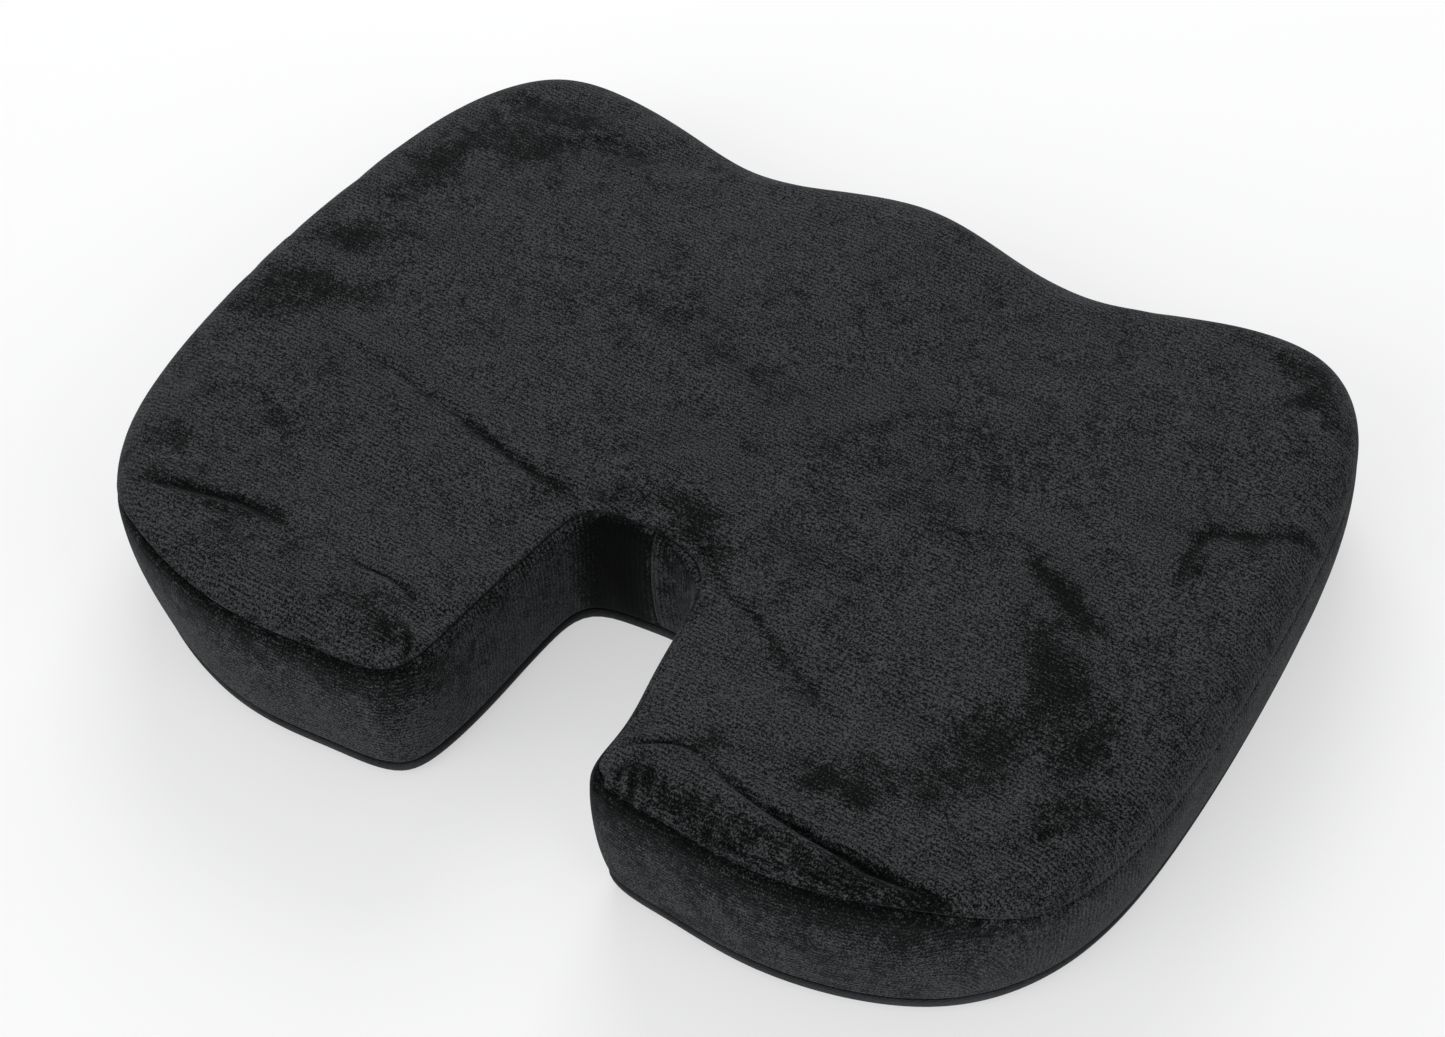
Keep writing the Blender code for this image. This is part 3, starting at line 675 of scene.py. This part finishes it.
def fine_moves(grids):
    """The slack cloth's moves for the fine panel's points; the lip in the seam doesn't move."""
    moves = []
    for coarse, grid in zip(slack_moves(), grids):
        lip = 0 if len(moves) % 2 == 0 else LIP_ROWS
        body = resampled(coarse, (grid.shape[0] - lip, grid.shape[1]))
        moves.append(np.concatenate([np.zeros((lip, grid.shape[1], 3)), body]).reshape(-1, 3))
    return np.vstack(moves)


def looked_up(points, values):
    """The values of the grids' points, in the order that the welded mesh has them."""
    keys = np.round(points.reshape(-1, 3) * 1e6).astype(np.int64)
    _, first = np.unique(keys, axis=0, return_index=True)
    return values.reshape(len(keys), -1)[first]


def cloth_attribute(piece, along, across, nap_and_painted_light):
    """Per vertex: two lengths that the ribs follow, and how light the pile is drawn, with painted shade
    and painted highlights in it.
    """
    layer = piece.data.attributes.new("cloth", "FLOAT_VECTOR", "POINT")
    layer.data.foreach_set("vector", np.c_[along, across, nap_and_painted_light].astype(np.float32).ravel())


def thicken(piece, thickness):
    """Cloth thickness, inward."""
    wall = piece.modifiers.new("thickness", "SOLIDIFY")
    wall.thickness = thickness
    wall.offset = -1


def reckon(finish, operation, *terms):
    """A Math node; each term is a number or another node's output."""
    node = finish.nodes.new("ShaderNodeMath")
    node.operation = operation
    for socket, term in zip(node.inputs, terms):
        if isinstance(term, (int, float)):
            socket.default_value = term
        else:
            finish.links.new(term, socket)
    return node.outputs[0]


def velour_material():
    """Black velour: ribs 2 mm apart, a grain of pile tips, and pile brushed dark in patches with
    ragged edges, which are the drawn nap plus cloudy noise, cut off steeply.  The drawn nap also
    carries painted shade in creases and corners and painted highlights, through the same ramp."""
    finish = new_finish("velour", 0.80, 0.05)
    finish.shader.inputs["Sheen Weight"].default_value = 0.060
    finish.shader.inputs["Sheen Roughness"].default_value = 0.38
    finish.shader.inputs["Sheen Tint"].default_value = (0.66, 0.72, 0.80, 1.0)
    cloth = add_node(finish, "ShaderNodeAttribute", {"attribute_name": "cloth"})
    split = add_node(finish, "ShaderNodeSeparateXYZ", Vector=cloth.outputs["Vector"])
    level = add_node(finish, "ShaderNodeMapping", {"Scale": (0.22, 0.22, 1.0)}, Vector=finish.where)
    pile = noise(finish, 1350.0, 2.0, 0.80)
    tufts = noise(finish, 420.0, 2.0)
    cloud = noise(finish, 70.0, 7.0, 0.76)
    broad = noise(finish, 13.0)
    mottle = noise(finish, 250.0, 2.0, 0.6)
    streak = noise(finish, 240.0, 3.0, 0.6, level.outputs["Vector"])
    phase = reckon(finish, "MULTIPLY", split.outputs["Y"], 2 * math.pi / RIB_PITCH)
    ribs = reckon(finish, "SINE", reckon(finish, "MULTIPLY_ADD", tufts, 2.2, phase))
    # The drawn nap per vertex: brushed patches, with painted shade and painted highlights in it.
    lay_and_painted_light = split.outputs["Z"]
    for part, share in ((cloud, 2.0), (broad, 0.6), (mottle, 1.1)):
        lay_and_painted_light = reckon(finish, "MULTIPLY_ADD", part, share, lay_and_painted_light)
    edges = {"interpolation_type": "SMOOTHSTEP", "From Min": 2.05, "From Max": 2.90}
    patch = add_node(finish, "ShaderNodeMapRange", edges, Value=lay_and_painted_light)
    tone = reckon(finish, "MULTIPLY", patch.outputs["Result"], 0.58)
    deep = reckon(finish, "MINIMUM", lay_and_painted_light, 2.15)
    for part, share in ((deep, 0.40), (pile, 4.40), (streak, 0.30), (ribs, 0.150)):
        tone = reckon(finish, "MULTIPLY_ADD", part, share, tone)
    paint(finish, reckon(finish, "SUBTRACT", tone, 3.19), [
        (0.0, (0.0008, 0.0010, 0.0009)), (0.25, (0.0042, 0.0048, 0.0046)),
        (0.50, (0.0136, 0.0146, 0.0149)), (0.95, (0.0560, 0.0590, 0.0610))])
    roughen(finish, reckon(finish, "MULTIPLY_ADD", ribs, 0.12, pile), 0.8, 0.0005)
    return finish.made


velour = velour_material()
top_shape = both_sides(top_grids(TOP_STEPS, EDGE_ROWS))
top = grid_mesh("top_panel_velour", top_shape)
place, normal = points_of(top)
corners = np.vstack([grid.reshape(-1, 3) for grid in top_shape])
facing = np.clip(normal[:, 2:], 0, 1) ** 4
set_points(top, place + looked_up(corners, fine_moves(top_shape)) * facing)
place, normal = points_of(top)
x, y, z = place.T
flat_share = np.clip(normal[:, 2], 0, 1)
relief = (crease_relief(x, y) + lobe_roll(y)) * flat_share
relief = relief + 0.00045 * ripples(x, y, 26) * flat_share + gathers(x, y) * (1 - 0.4 * flat_share)
set_points(top, settled(place + normal * relief[:, None]))
# The creases are darkened here as painted shade, and the puckers are made lighter on their crests and
# darker in their hollows as painted light and shade.
nap_and_painted_light = 1.0 - 0.85 * brushed_shade(x, y) - 0.9 * crease_shade(x, y) + 150 * gathers(x, y)
nap_and_painted_light = nap_and_painted_light - 0.15 * (1 - flat_share)
cloth_attribute(top, x, y, nap_and_painted_light)
thicken(top, VELOUR_THICKNESS)
top.data.materials.append(velour)
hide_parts("top_panel")

# ------------------------------------------------------------
# The side band.  Two strips of the same velour round the wall, joined upright in the middle of
# the notch and of the front.  Each is sewn to the top panel and to the base, and swells a
# little between the two seams.
BAND_ROWS = 34
BAND_SWELL = 0.0013
JOIN_DEPTH = 0.0014
BASE_SEAM_LIP = 0.0012


def band_grid():
    """The wall from the lower seam, and over the rounded edge as far as the upper seam.

    Returns the points, the length along the band and the share of its height, on one grid.
    The profile is a line and then an arc, measured by its length; it turns in at both seams and
    swells as a sine between them.
    """
    place, inward, radius, level, length = top_edge(TOP_STEPS)
    foot_z = BASE_ROUND + BASE_SEAM_LIP
    wall = level - radius - foot_z
    arc = radius * (math.pi / 2 - seam_angle(radius)) - 1.3 * SEAM_LIP
    share = np.linspace(0, 1, BAND_ROWS)[:, None]
    share = share - 0.09 * np.sin(2 * math.pi * share)
    run = share * (wall + arc)
    angle = math.pi / 2 - np.clip(run - wall, 0, None) / radius
    inset = radius * (1 - np.sin(angle)) + WALL_LEAN * np.clip(1 - run / wall, 0, 1) ** 2
    z = foot_z + np.minimum(run, wall) + radius * np.cos(angle)
    turned = SEAM_DEPTH * (np.exp(-run / 0.0012) + np.exp(-(wall + arc - run) / 0.0010))
    join = np.minimum(length, length[-1] - length)
    pinched = JOIN_DEPTH * np.exp(-(join / 0.0013) ** 2)
    inward_by = turned + pinched - BAND_SWELL * np.sin(math.pi * share)
    grid = strip(place, inward, inset + inward_by * np.sin(angle), z - inward_by * np.cos(angle))
    return grid, np.broadcast_to(length, grid.shape[:2]), np.broadcast_to(share, grid.shape[:2])


for side, name in ((1, "side_band_right"), (-1, "side_band_left")):
    grid, run, share = band_grid()
    if side < 0:
        grid = (grid * (-1, 1, 1))[:, ::-1]
        run = run[:, ::-1]
        share = share[:, ::-1]
    band = grid_mesh(name + "_velour", [grid])
    place, normal = points_of(band)
    run = looked_up(grid, run)[:, 0]
    share = looked_up(grid, share)[:, 0]
    x, y, z = place.T
    middle = np.sin(math.pi * share)
    relief = 0.0007 * ripples(x * 1.4 + z, y * 1.4 - z, 22) * middle
    relief = relief + 0.5 * gathers(x, y) * np.exp(-((1 - share) / 0.25) ** 2)
    notch_end = np.exp(-(x / 0.030) ** 2) * (np.abs(y + 0.055) < 0.03)
    relief = relief + 0.0008 * notch_end * middle * np.sin(x * 2 * math.pi / 0.017 + 1.1)
    set_points(band, settled(place + normal * relief[:, None]))
    rear = np.clip((-0.125 - y) / 0.03, 0, 1)
    dark_top = np.exp(-((1 - share) / 0.26) ** 2)
    # Painted light at the notch's end: the band that faces into the notch is darkened as painted shade,
    # its left corner far more, and the upright fold of the join is made lighter as a painted highlight.
    facing = np.clip(-normal[:, 1], 0, 1) ** 2 * (np.abs(x) < 0.045) * (np.abs(y + 0.055) < 0.035)
    corner = facing * np.exp(-((x + 0.015) / 0.012) ** 4)
    painted_fold_highlight = facing * np.exp(-((x - 0.0025) / 0.0018) ** 2)
    nap_and_painted_light = 0.86 + 0.20 * (1 - share) - (0.12 + 0.38 * rear) * dark_top - 0.20 * rear * (side > 0)
    nap_and_painted_light = nap_and_painted_light - 0.30 * facing - 2.2 * corner + 0.6 * painted_fold_highlight
    turning = np.abs(rear - 0.5) < 0.2
    inner = np.abs(x) < 0.11
    start = np.where(inner, run[turning & inner].mean(), run[turning & ~inner].mean())
    heading = math.pi / 2 * (1 - rear)
    ribs = (z - 0.030) * np.cos(heading) + (run - start) * np.sin(heading)
    cloth_attribute(band, run, ribs, nap_and_painted_light)
    thicken(band, VELOUR_THICKNESS)
    band.data.materials.append(velour)
    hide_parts(name)

# ------------------------------------------------------------
# The seam threads.  Black polyester, laid deep between the panels: one round the top seam, one
# round the base seam, and one up each of the two joins of the side bands.
THREAD_RADIUS = 0.00045
THREAD_SIDES = 8


def tube(line, radius, sides, closed=False):
    """Rings of points round a line: the line plus radius times a circle across its direction."""
    ahead = np.roll(line, -1, axis=0) - np.roll(line, 1, axis=0)
    if not closed:
        ahead[0] = line[1] - line[0]
        ahead[-1] = line[-1] - line[-2]
    ahead /= np.linalg.norm(ahead, axis=1)[:, None]
    steady = np.where(np.abs(ahead[:, 2:]) > 0.9, (1.0, 0.0, 0.0), (0.0, 0.0, 1.0))
    across = np.cross(ahead, steady)
    across /= np.linalg.norm(across, axis=1)[:, None]
    upward = np.cross(across, ahead)
    angle = np.linspace(0, 2 * math.pi, sides + 1)[None, :, None]
    rings = line[:, None] + radius * (np.cos(angle) * across[:, None] + np.sin(angle) * upward[:, None])
    rings[:, -1] = rings[:, 0]
    if closed:
        rings = np.concatenate([rings, rings[:1]])
        return [rings]
    caps = [np.stack([rings[0], np.broadcast_to(line[0], rings[0].shape)])[::-1],
            np.stack([rings[-1], np.broadcast_to(line[-1], rings[-1].shape)])]
    return [rings] + caps


def thread_material():
    """Black polyester thread: a twist of bands 0.8 mm apart."""
    finish = new_finish("thread", 0.6, 0.3)
    settings = {"Scale": 1250.0, "Distortion": 1.5, "bands_direction": "DIAGONAL"}
    twist = add_node(finish, "ShaderNodeTexWave", settings, Vector=finish.where).outputs["Fac"]
    paint(finish, twist, [(0.0, (0.006, 0.006, 0.007)), (1.0, (0.022, 0.022, 0.025))])
    roughen(finish, twist, 0.6, 0.0002)
    return finish.made


def seam_lines():
    """The four lines that the seam threads follow."""
    place, inward, radius, level, _ = top_edge(TOP_STEPS)
    deep = SEAM_DEPTH + 0.0006
    angle = seam_angle(radius) + SEAM_LIP / radius
    inset, z = edge_profile(level, radius, deep, angle)
    upper = strip(place, inward, inset[None], z[None])[0]
    lower = strip(place, inward, np.full((1, len(place)), deep + WALL_LEAN),
                  np.full((1, len(place)), BASE_ROUND + BASE_SEAM_LIP - 0.0007))[0]
    loops = [np.vstack([line, (line * (-1, 1, 1))[-2:0:-1]]) for line in (upper, lower)]
    joins = []
    for end in (0, -1):
        ease = inward[end] * (WALL_LEAN + 0.0012)
        low = np.r_[place[end] + ease, BASE_ROUND + 0.003]
        high = np.r_[place[end] + ease, (level - radius)[end] - 0.004]
        joins.append(low + (high - low) * np.linspace(0, 1, 24)[:, None])
    return loops, joins


thread = thread_material()
loops, joins = seam_lines()
for name, line, closed in (("top_seam_thread", loops[0], True),
                           ("bottom_seam_thread", loops[1], True),
                           ("notch_join_thread", joins[0], False),
                           ("front_join_thread", joins[1], False)):
    cord = grid_mesh(name + "_laid", tube(line, THREAD_RADIUS, THREAD_SIDES, closed))
    cord.data.materials.append(thread)
    settle(cord)
    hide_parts(name)

# ------------------------------------------------------------
# The base.  Thin, tightly knitted black cloth with small rubber dots that grip the chair.  Its
# edge is drawn up round the foam to the lower seam, and a slot for the zip runs across it.
GRIP_THICKNESS = 0.0010
DOT_HEIGHT = 0.0006
DOT_RADIUS = 0.0016
DOT_PITCH = 0.0090
ZIP_Y = 0.085
SLOT_HALF = 0.0105
SLOT_END = 0.1778
BASE_STEPS = (40, 52, 62)


def base_grids():
    """The flat underside and its rounded edge, which ends in the lower seam."""
    place, inward, _, _, _ = top_edge(BASE_STEPS)
    quarter = np.linspace(0, math.pi / 2, 9)[:, None]
    rounding = BASE_ROUND - DOT_HEIGHT
    inset = WALL_LEAN + rounding * (1 - np.sin(quarter)) * np.ones(len(place))
    z = DOT_HEIGHT + rounding * (1 - np.cos(quarter)) * np.ones(len(place))
    tucked = np.linspace(0.3, 1, 3)[:, None] * np.ones(len(place))
    inset = np.vstack([inset, WALL_LEAN + SEAM_DEPTH * tucked])
    z = np.vstack([z, BASE_ROUND + 0.0005 * np.sin(tucked * math.pi / 2)])
    edge = strip(place, inward, inset, z)
    under = half_patch(edge[0, :, :2].copy(), BASE_STEPS)
    return [lifted(under, DOT_HEIGHT)[:, ::-1], edge]


def woven(finish, per_metre):
    """A sine along X times a sine along Y."""
    split = add_node(finish, "ShaderNodeSeparateXYZ", Vector=finish.where)
    waves = [reckon(finish, "SINE", reckon(finish, "MULTIPLY", split.outputs[axis], per_metre))
             for axis in "XY"]
    return reckon(finish, "MULTIPLY", *waves)


def grip_material():
    """Knitted base cloth: a fine grid of loops, and slight wear."""
    finish = new_finish("grip_cloth", 0.82, 0.15)
    loops = woven(finish, 4500.0)
    fuzz = noise(finish, 900.0, 2.0)
    worn = reckon(finish, "MULTIPLY_ADD", fuzz, 0.5, noise(finish, 30.0, 4.0))
    paint(finish, reckon(finish, "MULTIPLY_ADD", loops, 0.06, worn), [
        (0.40, (0.008, 0.0085, 0.009)), (0.95, (0.036, 0.038, 0.040))])
    roughen(finish, reckon(finish, "MULTIPLY_ADD", loops, 0.4, fuzz), 0.6, 0.0003)
    return finish.made


base = grid_mesh("base_cloth", both_sides(base_grids()))
settle(base)
thicken(base, GRIP_THICKNESS)
cut_box(base, (-SLOT_END, ZIP_Y - SLOT_HALF, -0.004), (SLOT_END, ZIP_Y + SLOT_HALF, 0.0075))
base.data.materials.clear()
base.data.materials.append(grip_material())
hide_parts("grip_panel")


def inside_outline(points, margin):
    """Which points lie in the outline, by counting crossings, and further from it than a margin."""
    loop, _ = closed_spline(outline_controls(), np.linspace(0, 32, 480, endpoint=False))
    after = np.roll(loop, -1, axis=0)
    x, y = points[:, 0, None], points[:, 1, None]
    spans = (loop[:, 1] > y) != (after[:, 1] > y)
    rise = np.where(after[:, 1] == loop[:, 1], 1e-9, after[:, 1] - loop[:, 1])
    crossing = loop[:, 0] + (y - loop[:, 1]) / rise * (after[:, 0] - loop[:, 0])
    inside = (spans & (x < crossing)).sum(axis=1) % 2 == 1
    near = np.hypot(x - loop[:, 0], y - loop[:, 1]).min(axis=1)
    return inside & (near > margin)


def repeated(one, sides, caps, count):
    """Quads of many copies of a small form: each ring joined to the next, and its caps."""
    around = np.arange(sides)
    after = (around + 1) % sides
    walls = [np.stack([k + around, k + sides + around, k + sides + after, k + after], axis=1)
             for k in range(0, len(one) - sides, sides)]
    quads = np.vstack(walls + [caps])
    return (quads[None] + (np.arange(count) * len(one))[:, None, None]).reshape(-1, 4)


def merged_mesh(name, points, quads, body):
    """One mesh from arrays of points and quads."""
    mesh = bpy.data.meshes.new(name)
    mesh.from_pydata(points.tolist(), [], quads.tolist())
    mesh.update()
    mesh.shade_smooth()
    piece = placed(name, mesh)
    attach(piece, body)
    return piece


def dots():
    """Low domes on a grid of rows set off by half a pitch: radius and height follow a quarter
    turn, and the eight sides close on a small flat top."""
    rows = np.arange(-24, 25)
    columns = np.arange(-30, 31)
    row, column = np.meshgrid(rows, columns, indexing="ij")
    middle = np.stack([column + 0.5 * (row % 2), row * 0.866], axis=-1).reshape(-1, 2) * DOT_PITCH
    clear = np.abs(middle[:, 1] - ZIP_Y) > SLOT_HALF + 0.008
    middle = middle[inside_outline(middle, 0.017) & clear]
    angle = np.arange(8) * math.pi / 4
    turn = np.array([0.0, 0.7, 1.3])
    ring = DOT_RADIUS * np.cos(turn)[:, None, None] * np.stack([np.cos(angle), np.sin(angle)], axis=-1)
    drop = -(DOT_HEIGHT - 0.00005) * np.sin(turn) / math.sin(1.3)
    one = np.dstack([ring, np.broadcast_to(drop[:, None], ring.shape[:2])]).reshape(-1, 3)
    points = one[None] + np.c_[middle, np.full(len(middle), DOT_HEIGHT)][:, None]
    top = np.array([[16, 19, 18, 17], [16, 21, 20, 19], [16, 23, 22, 21]])
    return points.reshape(-1, 3), repeated(one, 8, top, len(middle))


def rubber_material():
    """Matt black rubber with a faint mould texture."""
    finish = new_finish("rubber", 0.55, 0.4)
    paint(finish, noise(finish, 160.0), [(0.3, (0.010, 0.010, 0.011)), (0.7, (0.020, 0.020, 0.022))])
    roughen(finish, noise(finish, 1500.0), 0.3, 0.0001)
    return finish.made


points, quads = dots()
dot_field = merged_mesh("grip_dots", points, quads, "cushion")
dot_field.data.materials.append(rubber_material())
settle(dot_field)

# ------------------------------------------------------------
# The zip.  Two woven tapes are sewn into the slot with a row of stitches each.  Nylon coils run
# along their inner edges between small metal stops; the tapes and stops keep their CAD shapes.
COIL_PITCH = 0.0013
COIL_STEPS = 8
COIL_WIRE = 0.00036
STITCH_LENGTH = 0.0026
STITCH_PITCH = 0.0034
STITCH_RADIUS = 0.00034
TACK_STITCHES = 22
TAPE_THICKNESS = 0.0006


def coil_line(low, high, hand):
    """A flattened helix along X inside a box: the section is an ellipse, one turn a pitch."""
    turns = int((high[0] - low[0] - 0.001) / COIL_PITCH)
    t = np.arange(turns * COIL_STEPS + 1) / COIL_STEPS
    half_y = (high[1] - low[1]) / 2 - COIL_WIRE
    half_z = (high[2] - low[2]) / 2 - COIL_WIRE
    return np.c_[low[0] + 0.0005 + t * COIL_PITCH,
                 (low[1] + high[1]) / 2 + hand * half_y * np.cos(t * 2 * math.pi),
                 (low[2] + high[2]) / 2 + half_z * np.sin(t * 2 * math.pi)]


def nylon_material():
    """Black nylon wire, smooth and slightly glossy."""
    finish = new_finish("nylon", 0.38, 0.45)
    paint(finish, noise(finish, 300.0), [(0.3, (0.008, 0.008, 0.009)), (0.7, (0.016, 0.016, 0.018))])
    return finish.made


def tape_material():
    """Woven tape: warp and weft 0.5 mm apart."""
    finish = new_finish("zip_tape_weave", 0.8, 0.2)
    threads = reckon(finish, "MULTIPLY_ADD", woven(finish, 12500.0), 0.4, 0.5)
    paint(finish, threads, [(0.1, (0.007, 0.007, 0.008)), (0.9, (0.020, 0.020, 0.022))])
    roughen(finish, threads, 0.5, 0.0002)
    return finish.made


def metal_material():
    """Blackened zinc: satin, rubbed brighter in small spots."""
    finish = new_finish("black_zinc", 0.36, 0.5)
    finish.shader.inputs["Metallic"].default_value = 1.0
    rubbed = noise(finish, 260.0, 5.0, 0.7)
    paint(finish, rubbed, [(0.45, (0.040, 0.040, 0.043)), (0.75, (0.070, 0.069, 0.068))])
    rough = add_node(finish, "ShaderNodeMapRange", {"To Min": 0.28, "To Max": 0.5}, Value=rubbed)
    finish.links.new(rough.outputs["Result"], finish.shader.inputs["Roughness"])
    return finish.made


nylon = nylon_material()
metal = metal_material()
weave = tape_material()
for name, hand in (("zip_coil_rear", 1), ("zip_coil_front", -1)):
    line = coil_line(*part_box(name), hand)
    coil = grid_mesh(name + "_wire", tube(line, COIL_WIRE, 4))
    coil.data.materials.append(nylon)
    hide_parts(name)


def dress(node_name, finish):
    """Give a CAD node the finish that it keeps its shape for."""
    node = bpy.data.objects[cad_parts[node_name].name]
    for material_slot in node.material_slots:
        material_slot.material = finish


for name in ("zip_tape_rear", "zip_tape_front"):
    dress(name, weave)
for name in ("zip_stop_rear", "zip_stop_front", "zip_bottom_stop"):
    dress(name, metal)


def bar_tacks():
    """Places of the stitches that hold the tapes together, side by side from each end's stops to
    a little past the slot."""
    top_stop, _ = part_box("zip_stop_rear")
    _, bottom_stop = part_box("zip_bottom_stop")
    last = SLOT_END + 0.003
    _, tape_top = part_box("zip_tape_rear")
    x = np.r_[np.linspace(top_stop[0], last, TACK_STITCHES),
              np.linspace(bottom_stop[0], -last, TACK_STITCHES)]
    return np.c_[x, np.full(len(x), ZIP_Y), np.full(len(x), tape_top[2] - TAPE_THICKNESS)]


def stitch_rows():
    """Stitches as short six-sided spindles: one row beside each edge of the slot, and turned
    across the gap between the tapes at each end, half as long again."""
    count = int(2 * (SLOT_END - 0.004) / STITCH_PITCH)
    start = (np.arange(count) - (count - 1) / 2) * STITCH_PITCH
    along = np.array([-0.5, -0.3, 0.3, 0.5]) * STITCH_LENGTH
    thick = np.array([0.35, 1.0, 1.0, 0.35]) * STITCH_RADIUS
    angle = np.arange(6) * math.pi / 3
    one = np.dstack([np.broadcast_to(along[:, None], (4, 6)), thick[:, None] * np.cos(angle),
                     thick[:, None] * np.sin(angle)]).reshape(-1, 3)
    rows = [np.c_[start, np.full(count, ZIP_Y + side * (SLOT_HALF + 0.0026)), np.full(count, DOT_HEIGHT)]
            for side in (-1, 1)]
    tacks = bar_tacks()
    crossed = np.c_[-one[:, 1], 1.5 * one[:, 0], one[:, 2]]
    points = np.vstack([one[None] + np.vstack(rows)[:, None], crossed[None] + tacks[:, None]])
    ends = np.array([[3, 2, 1, 0], [5, 4, 3, 0], [19, 20, 21, 18], [21, 22, 23, 18]])
    return points.reshape(-1, 3), repeated(one, 6, ends, len(points))


points, quads = stitch_rows()
stitches = merged_mesh("zip_stitching", points, quads, "cushion")
stitches.data.materials.append(thread)

# ------------------------------------------------------------
# The slider and its pull.  Die-cast zinc, blackened.  The slider grips both coils; the pull
# hangs in the slider's bridge and folds flat either way.


def softened_copy(node_name, body, width):
    """A merged copy of a CAD node with its edges rounded."""
    made = bmesh.new()
    made.from_mesh(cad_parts[node_name].data)
    bmesh.ops.remove_doubles(made, verts=made.verts, dist=0.00001)
    bmesh.ops.dissolve_limit(made, angle_limit=0.02, verts=made.verts, edges=made.edges)
    mesh = finished_mesh(made, node_name + "_cast")
    mesh.shade_smooth()
    piece = placed(node_name + "_cast", mesh)
    rounding = piece.modifiers.new("edges", "BEVEL")
    rounding.width = width
    rounding.segments = 3
    rounding.limit_method = "ANGLE"
    rounding.angle_limit = math.radians(40)
    rounding.use_clamp_overlap = True
    rounding.harden_normals = True
    mesh.materials.clear()
    mesh.materials.append(metal)
    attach(piece, body)
    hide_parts(node_name)
    return piece


softened_copy("zip_slider", "slider", 0.00025)
softened_copy("zip_pull", "pull", 0.0002)

# ------------------------------------------------------------
# The stage.  A plain pale floor, three soft lamps and an even sky that give daylight from all
# round, and the camera, which looks down on the seat at about 48 degrees.
VIEW_AZIMUTH = 33.86
VIEW_ELEVATION = 48.03
VIEW_ROLL = -2.24
VIEW_DISTANCE = 1.3023
VIEW_LENS = 79.33
VIEW_TARGET = Vector((-0.0137, 0.0167, 0.0))


def place_camera():
    """A camera that looks at the target from an azimuth and elevation, rolled about its view."""
    azimuth = math.radians(VIEW_AZIMUTH)
    elevation = math.radians(VIEW_ELEVATION)
    roll = math.radians(VIEW_ROLL)
    back = Vector((math.sin(azimuth) * math.cos(elevation), -math.cos(azimuth) * math.cos(elevation),
                   math.sin(elevation)))
    right = Vector((math.cos(azimuth), math.sin(azimuth), 0.0))
    up = back.cross(right)
    rolled_right = right * math.cos(roll) + up * math.sin(roll)
    rolled_up = up * math.cos(roll) - right * math.sin(roll)
    camera = placed("camera", bpy.data.cameras.new("camera"))
    camera.data.lens = VIEW_LENS
    turn = Matrix((rolled_right, rolled_up, back)).transposed()
    camera.matrix_world = Matrix.Translation(VIEW_TARGET + back * VIEW_DISTANCE) @ turn.to_4x4()
    bpy.context.scene.camera = camera


def soft_light(name, place, size, power, aim=(0.0, 0.0, 0.0)):
    """A square lamp that faces a point."""
    lamp = bpy.data.lights.new(name, "AREA")
    lamp.size = size
    lamp.energy = power
    holder = placed(name, lamp)
    holder.location = place
    holder.rotation_euler = (Vector(aim) - Vector(place)).to_track_quat("-Z", "Y").to_euler()


def paper_floor():
    """A wide sheet of white paper."""
    made = bmesh.new()
    bmesh.ops.create_grid(made, x_segments=8, y_segments=8, size=4.0)
    floor = placed("floor", finished_mesh(made, "floor"))
    paper = new_finish("paper", 0.9, 0.1)
    paper.shader.inputs["Base Color"].default_value = (0.44, 0.44, 0.44, 1.0)
    paper.shader.inputs["Emission Color"].default_value = (1.0, 1.0, 1.0, 1.0)
    paper.shader.inputs["Emission Strength"].default_value = 0.49
    floor.data.materials.append(paper.made)


place_camera()
paper_floor()
soft_light("window", (-0.9, 1.5, 1.2), 1.3, 26.0)
soft_light("room", (-0.5, -2.2, 1.2), 2.0, 30.0)
soft_light("wall_light", (2.2, -0.6, 1.4), 1.6, 14.0)
world = bpy.data.worlds.new("daylight")
world.use_nodes = True
world.node_tree.nodes["Background"].inputs["Color"].default_value = (0.98, 0.99, 1.0, 1.0)
world.node_tree.nodes["Background"].inputs["Strength"].default_value = 0.52
bpy.context.scene.world = world
bpy.context.scene.view_settings.view_transform = "Standard"
